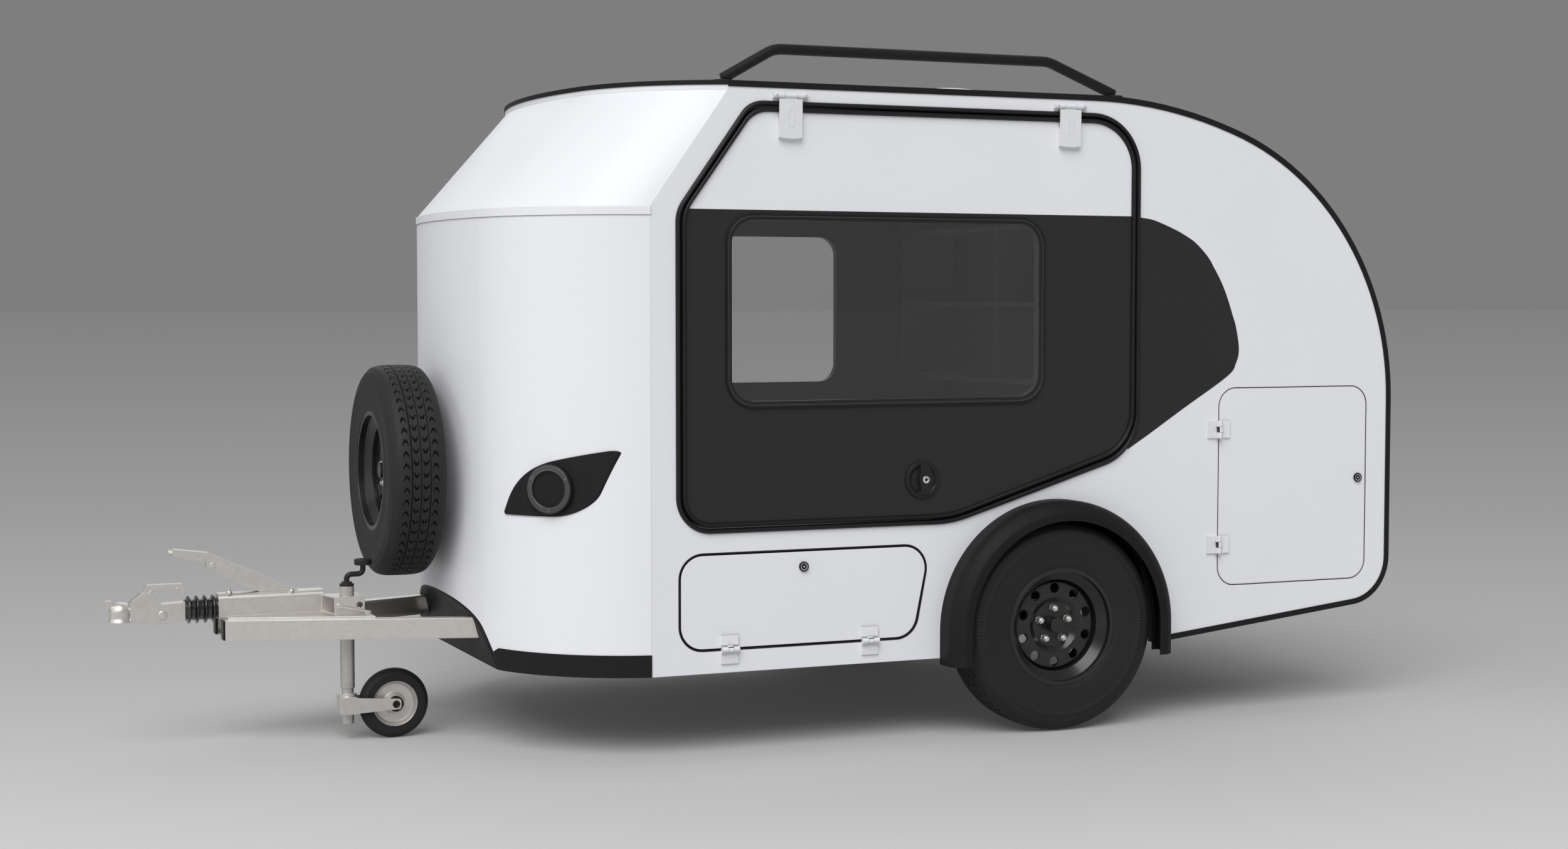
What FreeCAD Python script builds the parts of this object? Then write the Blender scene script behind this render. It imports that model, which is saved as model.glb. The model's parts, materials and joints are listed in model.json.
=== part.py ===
import FreeCAD, Part
import math
import os
import Sketcher

# A teardrop travel trailer on one axle, standing on its two road wheels and its jockey wheel.
# Millimetres. X points forward to the coupling, Y to the left, Z up, with the ground at Z = 0.
# Places along X are worked out from the front edge of the side walls, and most are negative,
# because the body lies behind that edge.

Vector = FreeCAD.Vector
doc = FreeCAD.newDocument("TeardropTrailer")
sheet = doc.addObject("Spreadsheet::Sheet", "Sizes")

sizes = {
    # body shell
    "body_width": 1700,
    "wall_length": 2877,
    "skirt_height": 268,
    "roof_height": 2176,
    "hood_height": 405,
    "hood_setback": 285,
    "wall_thickness": 32,
    "skin_thickness": 26,
    "roof_thickness": 28,
    "roof_break_back": 1903,
    "roof_break_radius": 1710,
    "rear_break_drop": 338,
    "rear_break_radius": 1016,
    "heel_height": 384,
    "heel_radius": 170,
    "heel_reach": 240,
    "tail_slope_back": 1820,
    "trim_width": 17,
    "trim_proud": 3,
    "crease_band_height": 26,
    "lip_drop": 12,
    # nose in plan
    "nose_reach": 485,
    "cap_reach": 417,
    "nose_front_radius": 1840,
    "nose_corner_radius": 588,
    "apron_foot": 403,
    "apron_knee": 448,
    "apron_knee_height": 446,
    "apron_bend_radius": 180,
    "apron_top": 483,
    "apron_thickness": 7,
    "band_height": 72,
    "bevel_height": 326,
    "bevel_start": 484,
    "bevel_end": 510,
    # floor and frame
    "floor_height": 421,
    "floor_thickness": 20,
    "floor_tail_gap": 100,
    "beam_depth": 67,
    "beam_width": 44,
    "beam_wall": 6,
    "rail_width": 50,
    "rail_rear_back": 2600,
    "cross_width": 50,
    "cross_spacing": 850,
    "drawbar_reach": 1218,
    "drawbar_front_half": 78,
    "drawbar_angle": 17.5,
    "drawbar_clear": 5,
    # side door
    "door_front": 84,
    "door_rear": 1804,
    "door_top_drop": 59,
    "door_bottom": 722,
    "door_slant_drop": 11,
    "door_slant_back": 338,
    "door_kick_back": 1075,
    "door_kick_height": 945,
    "door_crown_radius": 190,
    "door_brow_radius": 95,
    "door_slant_radius": 120,
    "door_toe_radius": 120,
    "door_kick_radius": 420,
    "door_heel_radius": 190,
    "seal_width": 15,
    "seal_gap": 5,
    "seal_proud": 4,
    # window in the door
    "window_front": 257,
    "window_rear": 1424,
    "window_top_drop": 18,
    "window_bottom": 1127,
    "window_radius": 95,
    "window_lap": 20,
    "pane_thickness": 6,
    # door hinges and latch
    "door_hinge_front": 478,
    "door_hinge_rear": 1517,
    "hinge_pin_lift": 18,
    "hinge_pin_radius": 4,
    "hinge_barrel_radius": 9,
    "hinge_stand": 12,
    "hinge_play": 0.08,
    "leaf_width": 80,
    "leaf_thickness": 6,
    "leaf_drop": 136,
    "leaf_foot": 62,
    "hinge_bar_half": 60,
    "barrel_half": 22,
    "barrel_gap": 1,
    "latch_back": 962,
    "latch_height": 875,
    "latch_radius": 63,
    "latch_ring_width": 12,
    "latch_proud": 9,
    "latch_floor": 3,
    "latch_grip_depth": 13,
    # locker hatch low in the side wall
    "locker_front": 95,
    "locker_rear": 995,
    "locker_bottom": 344,
    "locker_top": 656,
    "locker_radius": 80,
    "locker_slant": 62,
    "locker_tub_depth": 190,
    "lid_gap": 5,
    "locker_hinge_front": 267,
    "locker_hinge_rear": 768,
    "locker_leaf_half": 30,
    "locker_leaf_height": 47,
    "lock_radius": 15,
    "lock_depth": 6,
    "locker_lock_back": 529,
    "locker_lock_height": 602,
    # rear side hatch
    "store_front": 2134,
    "store_rear": 2774,
    "store_bottom": 459,
    "store_top": 1166,
    "store_radius": 70,
    "store_hinge_high": 1018,
    "store_hinge_low": 608,
    "store_leaf_length": 46,
    "store_leaf_half": 31,
    "store_lock_back": 2736,
    "store_lock_height": 830,
    # road wheel
    "wheel_back": 1465.4,
    "tyre_radius": 359.5,
    "tyre_width": 205,
    "tread_width": 156,
    "tyre_bead_radius": 196,
    "wheel_track_half": 829,
    "rim_flange_radius": 204,
    "rim_width": 165,
    "rim_barrel_radius": 172,
    "rim_wall": 7,
    "disc_offset": 12,
    "disc_thickness": 9,
    "vent_circle_radius": 128,
    "vent_radius": 17.5,
    "vent_count": 10,
    "lug_circle": 114.3,
    "lug_radius": 10,
    "lug_height": 20,
    "lug_count": 5,
    "hub_radius": 78,
    "hub_depth": 75,
    "cap_radius": 26,
    "cap_height": 38,
    "spindle_radius": 20,
    "bearing_play": 0.05,
    # axle
    "axle_lead": 150,
    "axle_height": 316,
    "axle_tube": 76,
    "axle_half": 640,
    "arm_width": 34,
    "arm_boss_radius": 46,
    # fender and wheel box
    "fender_root_radius": 434,
    "fender_lip_radius": 394,
    "fender_inner_radius": 367,
    "fender_depth": 112,
    "fender_wall": 6,
    "fender_shoulder_radius": 55,
    "fender_bottom": 247,
    "arch_cut_radius": 404,
    "wheel_box_radius": 396,
    "wheel_box_wall": 10,
    "wheel_box_depth": 172,
    # spare wheel
    "spare_height": 896,
    "spare_reach": 620,
    "carrier_half": 90,
    "carrier_thickness": 14,
    "carrier_tube_radius": 38,
    # nose lamps
    "lamp_height": 871,
    "lamp_angle": 44.9,
    "lamp_radius": 81,
    "lamp_proud": 16,
    "lamp_ring_width": 22,
    "lamp_lens_depth": 6,
    "surround_proud": 5,
    # roof
    "rail_tube_radius": 18,
    "rail_side": 752,
    "rail_rise": 120,
    "rail_foot_front": 285,
    "rail_bend_front": 465,
    "rail_bend_rear": 1490,
    "rail_foot_rear": 1750,
    "rail_bend_radius": 110,
    "rail_flange_radius": 34,
    "rail_flange_thickness": 6,
    "vent_back": 1479,
    "vent_half": 210,
    "vent_height": 92,
    "vent_corner": 60,
    "vent_flange": 12,
    "vent_step": 24,
    "vent_crown_radius": 700,
    # cabin
    "deck_height": 700,
    "deck_thickness": 18,
    "shelf_front": 1700,
    "shelf_back": 1950,
    "shelf_board": 18,
    "shelf_foot": 78,
    "shelf_first": 1180,
    "shelf_tiers": 3,
    "shelf_top_drop": 126,
    # rear fittings
    "tail_lamp_radius": 62,
    "tail_lamp_depth": 16,
    "tail_lamp_half": 700,
    "tail_lamp_height": 640,
    "plate_half_width": 260,
    "plate_half_height": 60,
    "plate_height": 640,
    "plate_thickness": 8,
    # coupling and overrun brake
    "coupling_reach": 1587,
    "shaft_height": 452,
    "shaft_radius": 25,
    "ball_radius": 25,
    "ball_inset": 48,
    "socket_wall": 11,
    "neck_half": 28,
    "bellows_front": 1335,
    "bellows_rear": 1229,
    "bellows_radius": 51,
    "bellows_valley": 36,
    "bellows_ribs": 4,
    "housing_rear": 880,
    "housing_half": 42,
    "housing_top": 502,
    "saddle_thickness": 8,
    "saddle_front": 1205,
    "saddle_rear": 750,
    "handle_half": 12,
    "lever_half": 22,
    "lever_wall": 4,
    "lever_rear": 963,
    "lever_front": 1091,
    "lever_knee": 1259,
    "lever_knee_height": 640,
    "lever_chin": 589,
    "lever_tip": 1372,
    "lever_tip_height": 656,
    "lever_grip_depth": 31,
    "lever_bolt_radius": 9,
    "lever_plug": 13,
    # jockey wheel
    "jockey_reach": 820,
    "jockey_side": 120,
    "sleeve_radius": 24,
    "sleeve_bore": 20.5,
    "sleeve_top": 520,
    "sleeve_bottom": 178,
    "leg_radius": 20,
    "leg_bottom": 57,
    "fork_low": 92,
    "fork_high": 160,
    "fork_hub_radius": 29,
    "fork_trail": 155,
    "fork_half": 38,
    "fork_plate": 5,
    "jockey_radius": 117.2,
    "jockey_width": 56,
    "jockey_rim_radius": 76,
    "jockey_axle_radius": 9,
    "clamp_high": 487,
    "clamp_rear": 766,
    "clamp_front": 890,
    "clamp_taper": 23,
    "clamp_side": 150,
    "clamp_wall": 4,
    "clamp_hole_radius": 11,
    "clamp_hole_inset": 17,
    "toggle_radius": 4,
    "toggle_length": 108,
    "toggle_angle": 13,
    "toggle_boss_radius": 8,
    "toggle_boss_depth": 12,
    "toggle_inset": 15,
    "crank_radius": 9,
    "crank_level": 39,
    "crank_bend_radius": 16,
    "crank_throw": 55,
    "crank_grip": 30,
    "crank_cap_step": 9,
    "crank_cap_height": 15,
    "knob_radius": 29,
    "knob_height": 20,
    # running clearances and overrun of cutting tools
    "fit_gap": 0.3,
    "overrun": 20,
}


class Measure:
    """A length, angle or share: its number, and the sheet expression that gives it."""

    def __init__(self, number, text):
        self.number = number
        self.text = text

    def __add__(self, other):
        return combine(self, "+", other)

    def __radd__(self, other):
        return combine(other, "+", self)

    def __sub__(self, other):
        return combine(self, "-", other)

    def __rsub__(self, other):
        return combine(other, "-", self)

    def __mul__(self, other):
        return combine(self, "*", other)

    def __rmul__(self, other):
        return combine(other, "*", self)

    def __truediv__(self, other):
        return combine(self, "/", other)

    def __rtruediv__(self, other):
        return combine(other, "/", self)

    def __neg__(self):
        return combine(0, "-", self)


def number_of(item):
    return item.number if isinstance(item, Measure) else float(item)


def text_of(item):
    return item.text if isinstance(item, Measure) else f"({float(item):.12g})"


def combine(first, sign, second):
    a, b = number_of(first), number_of(second)
    result = {"+": a + b, "-": a - b, "*": a * b, "/": a / b if b else 0}[sign]
    return Measure(result, f"({text_of(first)} {sign} {text_of(second)})")


def root(item):
    return Measure(math.sqrt(number_of(item)), f"sqrt({text_of(item)})")


def sine(angle):
    return Measure(math.sin(math.radians(number_of(angle))), f"sin({text_of(angle)})")


def cosine(angle):
    return Measure(math.cos(math.radians(number_of(angle))), f"cos({text_of(angle)})")


def tangent(angle):
    return sine(angle) / cosine(angle)


class SizeSheet:
    """Every size of the table above, written to the sheet and read by its name."""

    def __init__(self, table):
        for row, (name, number) in enumerate(table.items(), start=1):
            sheet.set(f"A{row}", name.replace("_", " "))
            sheet.set(f"B{row}", str(number))
            sheet.setAlias(f"B{row}", name)
            setattr(self, name, Measure(float(number), f"Sizes.{name}"))
        doc.recompute()


s = SizeSheet(sizes)


# Construction helpers

def bind(item, path, measure):
    item.setExpression(path, text_of(measure))


def new_body(name):
    return doc.addObject("PartDesign::Body", name)


def sketch_on(body, role, level, across=0, up=0):
    """Sketch parallel to one of the body's origin planes, at a level along +X, +Y or +Z.

    XY_Plane draws X and Y, XZ_Plane draws X and Z, YZ_Plane draws Y and Z.
    The sketch's own origin lies at (across, up) in that plane.
    """
    sketch = body.newObject("Sketcher::SketchObject", body.Name + "_sketch")
    plane = [item for item in body.Origin.OriginFeatures if item.Role == role][0]
    sketch.AttachmentSupport = [(plane, "")]
    sketch.MapMode = "FlatFace"
    bind(sketch, "AttachmentOffset.Base.x", across)
    bind(sketch, "AttachmentOffset.Base.y", up)
    bind(sketch, "AttachmentOffset.Base.z", -level if role == "XZ_Plane" else level)
    return sketch


def free_sketch(name, role, level):
    """Sketch outside a body, for extrusions and offsets, in the plane that the role names."""
    sketch = doc.addObject("Sketcher::SketchObject", name)
    turns = {
        "XY_Plane": FreeCAD.Rotation(),
        "XZ_Plane": FreeCAD.Rotation(Vector(1, 0, 0), 90),
        "YZ_Plane": FreeCAD.Rotation(Vector(1, 1, 1), 120),
    }
    sketch.Placement = FreeCAD.Placement(Vector(), turns[role])
    bind(sketch, {"XY_Plane": ".Placement.Base.z", "XZ_Plane": ".Placement.Base.y",
                  "YZ_Plane": ".Placement.Base.x"}[role], level)
    return sketch


def fix_point(sketch, geometry, end, x, y):
    """Hold a point of the sketch at (x, y), both tied to the sheet."""
    for kind, place in (("DistanceX", x), ("DistanceY", y)):
        index = sketch.addConstraint(Sketcher.Constraint(kind, -1, 1, geometry, end, number_of(place)))
        bind(sketch, f"Constraints[{index}]", place)


def draw_outline(sketch, corners, closed=True):
    """Straight sides through the corners, each given as (x, y) or (x, y, radius of its round)."""
    places = [Vector(number_of(c[0]), number_of(c[1]), 0) for c in corners]
    count = len(corners)
    ends = []
    for i, place in enumerate(places):
        if len(corners[i]) < 3:
            ends.append((place, place, None))
            continue
        back = (places[i - 1] - place).normalize()
        ahead = (places[(i + 1) % count] - place).normalize()
        half = back.getAngle(ahead) / 2
        radius = number_of(corners[i][2])
        middle = place + (back + ahead).normalize() * (radius / math.sin(half) - radius)
        reach = radius / math.tan(half)
        ends.append((place + back * reach, place + ahead * reach, middle))
    sides = count if closed else count - 1
    lines = [sketch.addGeometry(Part.LineSegment(ends[i][1], ends[(i + 1) % count][0]))
             for i in range(sides)]
    for i, (start, finish, middle) in enumerate(ends):
        before = lines[i - 1] if closed or i > 0 else None
        after = lines[i] if closed or i < count - 1 else None
        x, y = corners[i][0], corners[i][1]
        if middle is None:
            if before is not None and after is not None:
                sketch.addConstraint(Sketcher.Constraint("Coincident", before, 2, after, 1))
            fix_point(sketch, *((before, 2) if after is None else (after, 1)), x, y)
            continue
        clockwise = (middle - start).cross(finish - middle).z < 0
        turn = (finish, middle, start) if clockwise else (start, middle, finish)
        arc = sketch.addGeometry(Part.Arc(*turn))
        first = 2 if clockwise else 1
        sketch.addConstraint(Sketcher.Constraint("Tangent", before, 2, arc, first))
        sketch.addConstraint(Sketcher.Constraint("Tangent", after, 1, arc, 3 - first))
        index = sketch.addConstraint(Sketcher.Constraint("Radius", arc, number_of(corners[i][2])))
        bind(sketch, f"Constraints[{index}]", corners[i][2])
        corner = sketch.addGeometry(Part.Point(places[i]), True)
        sketch.addConstraint(Sketcher.Constraint("PointOnObject", corner, 1, before))
        sketch.addConstraint(Sketcher.Constraint("PointOnObject", corner, 1, after))
        fix_point(sketch, corner, 1, x, y)


def draw_circle(sketch, x, y, radius):
    circle = sketch.addGeometry(Part.Circle(Vector(number_of(x), number_of(y), 0), Vector(0, 0, 1),
                                            number_of(radius)))
    fix_point(sketch, circle, 3, x, y)
    index = sketch.addConstraint(Sketcher.Constraint("Radius", circle, number_of(radius)))
    bind(sketch, f"Constraints[{index}]", radius)


def draw_any(sketch, outlines):
    """Each outline is a list of corners, or a circle as a tuple (x, y, radius)."""
    for outline in outlines:
        if isinstance(outline, tuple):
            draw_circle(sketch, *outline)
        else:
            draw_outline(sketch, outline)


def pad(body, role, low, high, *outlines):
    """Material between two levels along the axis across the plane."""
    sketch = sketch_on(body, role, high if role == "XZ_Plane" else low)
    draw_any(sketch, outlines)
    feature = body.newObject("PartDesign::Pad", body.Name + "_pad")
    feature.Profile = sketch
    bind(feature, "Length", high - low)
    return feature


def cut(body, role, low, high, *outlines):
    """Pocket between two levels along the axis across the plane."""
    doc.recompute()
    before = body.Shape.Volume
    sketch = sketch_on(body, role, low if role == "XZ_Plane" else high)
    draw_any(sketch, outlines)
    feature = body.newObject("PartDesign::Pocket", body.Name + "_pocket")
    feature.Profile = sketch
    bind(feature, "Length", high - low)
    doc.recompute()
    if not body.Shape.Volume < before:
        raise RuntimeError(f"a pocket of {body.Name} removes nothing")
    return feature


def turned(body, role, level, across, up, corners, angle=360, axis="V_Axis"):
    """Profile turned about the sketch's vertical or horizontal line, upwards if only part of the way."""
    sketch = sketch_on(body, role, level, across, up)
    draw_outline(sketch, corners)
    feature = body.newObject("PartDesign::Revolution", body.Name + "_turn")
    feature.Profile = sketch
    feature.ReferenceAxis = (sketch, [axis])
    feature.Angle = angle
    feature.Reversed = angle < 360
    return feature


def repeat_round(body, feature, count):
    """The feature repeated around its own sketch's normal."""
    pattern = body.newObject("PartDesign::PolarPattern", body.Name + "_ring")
    pattern.Originals = [feature]
    pattern.Axis = (feature.Profile[0], ["N_Axis"])
    pattern.Angle = 360
    bind(pattern, "Occurrences", count)
    body.Tip = pattern
    return pattern


def mirrored(item):
    """The same piece on the other side of the centre plane."""
    twin = doc.addObject("Part::Mirroring", item.Name + "_right")
    twin.Source = item
    twin.Normal = Vector(0, 1, 0)
    return twin


def gathered(name, items):
    """Several separate solids kept as one sub-part."""
    group = doc.addObject("Part::Compound", name)
    group.Links = items
    return group


def fused(name, items):
    whole = doc.addObject("Part::MultiFuse", name)
    whole.Shapes = items
    return whole


def less(name, base, tool):
    result = doc.addObject("Part::Cut", name)
    result.Base = base
    result.Tool = tool
    return result


def shared(name, first, second):
    result = doc.addObject("Part::MultiCommon", name)
    result.Shapes = [first, second]
    return result


def rod(name, axis, low, high, a, b, radius):
    """Cylinder along X, Y or Z between two levels. a and b are its other two coordinates in XYZ order."""
    item = doc.addObject("Part::Cylinder", name)
    turn = {"X": FreeCAD.Rotation(Vector(0, 1, 0), 90), "Y": FreeCAD.Rotation(Vector(1, 0, 0), -90),
            "Z": FreeCAD.Rotation()}[axis]
    item.Placement = FreeCAD.Placement(Vector(), turn)
    places = {"X": (low, a, b), "Y": (a, low, b), "Z": (a, b, low)}[axis]
    for letter, place in zip("xyz", places):
        bind(item, f".Placement.Base.{letter}", place)
    bind(item, "Radius", radius)
    bind(item, "Height", high - low)
    return item


def block(name, x, y, z):
    """Box from its low and high values along each axis."""
    item = doc.addObject("Part::Box", name)
    for letter, size, (low, high) in zip("xyz", ("Length", "Width", "Height"), (x, y, z)):
        bind(item, f".Placement.Base.{letter}", low)
        bind(item, size, high - low)
    return item


def drawn_out(name, profile, direction):
    """A flat profile carried along a direction, given as three measures."""
    item = doc.addObject("Part::Extrusion", name)
    item.Base = profile
    item.DirMode = "Custom"
    for letter, part in zip("xyz", direction):
        bind(item, f"Dir.{letter}", part)
    length = root(direction[0] * direction[0] + direction[1] * direction[1] + direction[2] * direction[2])
    bind(item, "LengthFwd", length)
    item.Solid = True
    return item


sub_parts = []


def keep(label, item):
    """Name a finished sub-part."""
    item.Label = label
    sub_parts.append(item)
    return item


# Shared places

front = (s.wall_length + s.tail_lamp_depth - s.coupling_reach) / 2
half_width = s.body_width / 2
inner_half = half_width - s.wall_thickness
rear = front - s.wall_length
roof_under = s.roof_height - s.roof_thickness
crease_height = s.roof_height - s.hood_height
crease_low = crease_height - s.crease_band_height
cap_setback = s.hood_setback * (s.hood_height - s.roof_thickness) / s.hood_height
rear_break_height = s.roof_height - s.rear_break_drop
door_top = s.roof_height - s.door_top_drop
rail_top = s.roof_height + s.rail_rise
frame_low = s.floor_height - s.beam_depth
floor_top = s.floor_height + s.floor_thickness
wheel_x = front - s.wheel_back
drawbar_slope = tangent(s.drawbar_angle)
rail_side = s.drawbar_front_half + s.drawbar_reach * drawbar_slope


def back(distance):
    """X of a place that lies this far behind the front edge of the side walls."""
    return front - distance


# Nose curve in plan: one front arc that meets two corner arcs

def corner_centre(reach):
    """Centre of the left corner arc, from the line at the front edge of the walls."""
    gap = s.nose_front_radius - s.nose_corner_radius
    middle = reach - s.nose_front_radius
    span = root(middle * middle + half_width * half_width)
    along = (gap * gap - s.nose_corner_radius * s.nose_corner_radius + span * span) / (span * 2)
    aside = root(gap * gap - along * along)
    ahead = middle + (aside * half_width - along * middle) / span
    return ahead, (along * half_width + aside * middle) / span


def nose_chain(sketch, inset, at, reach):
    """Three tangent arcs whose ends lie on the line at the front edge of the walls."""
    front_radius = s.nose_front_radius - inset
    corner_radius = s.nose_corner_radius - inset
    front_centre = at + reach - s.nose_front_radius
    corner_along, corner_side = corner_centre(reach)
    rf, rc = number_of(front_radius), number_of(corner_radius)
    fx, end_x = number_of(front_centre), number_of(at)
    cx, cy = end_x + number_of(corner_along), number_of(corner_side)
    lean = math.atan2(cy, cx - fx)
    turn = math.atan2(math.sqrt(rc ** 2 - (end_x - cx) ** 2), end_x - cx)

    def on(x, y, radius, angle):
        return Vector(x + radius * math.cos(angle), y + radius * math.sin(angle), 0)

    middle = sketch.addGeometry(Part.Arc(on(fx, 0, rf, -lean), on(fx, 0, rf, 0), on(fx, 0, rf, lean)))
    left = sketch.addGeometry(Part.Arc(on(cx, cy, rc, lean), on(cx, cy, rc, (lean + turn) / 2),
                                       on(cx, cy, rc, turn)))
    right = sketch.addGeometry(Part.Arc(on(cx, -cy, rc, -turn), on(cx, -cy, rc, -(lean + turn) / 2),
                                        on(cx, -cy, rc, -lean)))
    fix_point(sketch, middle, 3, front_centre, 0)
    for arc, radius in ((middle, front_radius), (left, corner_radius), (right, corner_radius)):
        index = sketch.addConstraint(Sketcher.Constraint("Radius", arc, number_of(radius)))
        bind(sketch, f"Constraints[{index}]", radius)
    for arc, offset in ((left, corner_side), (right, -corner_side)):
        index = sketch.addConstraint(Sketcher.Constraint("DistanceY", -1, 1, arc, 3, number_of(offset)))
        bind(sketch, f"Constraints[{index}]", offset)
    sketch.addConstraint(Sketcher.Constraint("Tangent", middle, 2, left, 1))
    sketch.addConstraint(Sketcher.Constraint("Tangent", right, 2, middle, 1))
    for arc, end in ((left, 2), (right, 1)):
        index = sketch.addConstraint(Sketcher.Constraint("DistanceX", -1, 1, arc, end, end_x))
        bind(sketch, f"Constraints[{index}]", at)
    return left, right


def join_ends(sketch, first, first_end, second, second_end):
    a = sketch.getPoint(first, first_end)
    b = sketch.getPoint(second, second_end)
    line = sketch.addGeometry(Part.LineSegment(a, b))
    sketch.addConstraint(Sketcher.Constraint("Coincident", first, first_end, line, 1))
    sketch.addConstraint(Sketcher.Constraint("Coincident", line, 2, second, second_end))


def nose_ring(sketch, outer_inset, inner_inset, at=front, reach=s.nose_reach):
    """Band between two nose curves, closed at the front edge of the walls."""
    outer_left, outer_right = nose_chain(sketch, outer_inset, at, reach)
    inner_left, inner_right = nose_chain(sketch, inner_inset, at, reach)
    join_ends(sketch, outer_left, 2, inner_left, 2)
    join_ends(sketch, outer_right, 1, inner_right, 1)


def nose_disc(sketch, inset, at=front, reach=s.nose_reach):
    """The whole area inside a nose curve."""
    left, right = nose_chain(sketch, inset, at, reach)
    join_ends(sketch, left, 2, right, 1)


def nose_piece(name, draw, low, high, *insets, at=front, reach=s.nose_reach):
    body = new_body(name)
    sketch = sketch_on(body, "XY_Plane", low)
    draw(sketch, *insets, at, reach)
    feature = body.newObject("PartDesign::Pad", name + "_pad")
    feature.Profile = sketch
    bind(feature, "Length", high - low)
    return body


def apron_face(clear):
    """Bent face of the apron under the nose, seen from the side, moved forward by the clearance."""
    start = front + clear
    return [(start + s.apron_foot, s.skirt_height - s.overrun), (start + s.apron_foot, s.skirt_height),
            (start + s.apron_knee, s.apron_knee_height, s.apron_bend_radius),
            (start + s.nose_reach, s.apron_top),
            (start + s.nose_reach + s.overrun, s.apron_top + s.overrun)]


def before_apron(clear):
    return apron_face(clear) + [(front + s.nose_reach + s.overrun * 2, s.apron_top + s.overrun),
                                (front + s.nose_reach + s.overrun * 2, s.skirt_height - s.overrun)]


def drawbar_outline(side, clear):
    """One drawbar seen from above, grown sideways by the clearance."""
    half = (s.beam_width / 2 + clear) / cosine(s.drawbar_angle)
    tip = front + s.drawbar_reach
    return [(tip, side * (s.drawbar_front_half - half)), (tip, side * (s.drawbar_front_half + half)),
            (front, side * (rail_side + half)), (front, side * (rail_side - half))]


# Body shell

def door_outline(inset):
    """Outer edge of the door seal, or a line that lies inside it by the inset."""
    kick = inset * 0.15
    return [(back(s.door_front + inset), s.door_bottom + inset, s.door_toe_radius - inset),
            (back(s.door_front + inset), crease_height - s.door_slant_drop - kick, s.door_slant_radius),
            (back(s.door_slant_back + inset / 2), door_top - inset, s.door_brow_radius),
            (back(s.door_rear - inset), door_top - inset, s.door_crown_radius - inset),
            (back(s.door_rear - inset), s.door_kick_height + inset, s.door_heel_radius - inset),
            (back(s.door_kick_back - kick), s.door_bottom + inset, s.door_kick_radius)]


def window_outline(inset):
    radius = s.window_radius - inset
    top = crease_height - s.window_top_drop - inset
    return [(back(s.window_front + inset), s.window_bottom + inset, radius),
            (back(s.window_front + inset), top, radius),
            (back(s.window_rear - inset), top, radius),
            (back(s.window_rear - inset), s.window_bottom + inset, radius)]


def locker_outline(inset):
    radius = s.locker_radius - inset
    return [(back(s.locker_front + inset), s.locker_bottom + inset, radius),
            (back(s.locker_front + inset), s.locker_top - inset, radius),
            (back(s.locker_rear - inset), s.locker_top - inset, radius),
            (back(s.locker_rear - s.locker_slant - inset), s.locker_bottom + inset, radius)]


def store_outline(inset):
    radius = s.store_radius - inset
    return [(back(s.store_front + inset), s.store_bottom + inset, radius),
            (back(s.store_front + inset), s.store_top - inset, radius),
            (back(s.store_rear - inset), s.store_top - inset, radius),
            (back(s.store_rear - inset), s.store_bottom + inset, radius)]


def roof_line(sketch, reach):
    """Roof, rear and tail seen from the side, as one open line that goes under by the reach."""
    slope = (s.heel_height - s.skirt_height) / (s.wall_length - s.tail_slope_back)
    draw_outline(sketch, [(back(cap_setback), s.roof_height),
                          (back(s.roof_break_back), s.roof_height, s.roof_break_radius),
                          (rear, rear_break_height, s.rear_break_radius),
                          (rear, s.heel_height, s.heel_radius),
                          (rear + reach, s.heel_height - slope * reach)], closed=False)


def wall_outline():
    return [(front, s.skirt_height), (front, crease_height), (back(cap_setback), roof_under),
            (back(cap_setback), s.roof_height),
            (back(s.roof_break_back), s.roof_height, s.roof_break_radius),
            (rear, rear_break_height, s.rear_break_radius), (rear, s.heel_height, s.heel_radius),
            (back(s.tail_slope_back), s.skirt_height)]


def arch_cut():
    r = s.arch_cut_radius
    low = s.skirt_height - s.overrun
    return [(wheel_x + r, low), (wheel_x + r, s.tyre_radius + r, r - s.fit_gap),
            (wheel_x - r, s.tyre_radius + r, r - s.fit_gap), (wheel_x - r, low)]


def side_wall():
    body = new_body("side_wall")
    pad(body, "XZ_Plane", inner_half, half_width, wall_outline())
    cut(body, "XZ_Plane", inner_half, half_width, door_outline(0))
    cut(body, "XZ_Plane", inner_half, half_width, locker_outline(0), store_outline(0))
    cut(body, "XZ_Plane", inner_half, half_width, arch_cut())
    return body


def roof_band(name, growth, reach, low, high):
    """Strip that follows the roof line, grown outwards, or inwards if the growth is negative."""
    sketch = free_sketch(name + "_line", "XZ_Plane", low)
    roof_line(sketch, reach)
    band = doc.addObject("Part::Offset2D", name + "_band")
    band.Source = sketch
    band.Mode = "Skin"
    bind(band, "Value", -growth)
    band.Fill = True
    return drawn_out(name, band, (0 * growth, high - low, 0 * growth))


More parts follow.
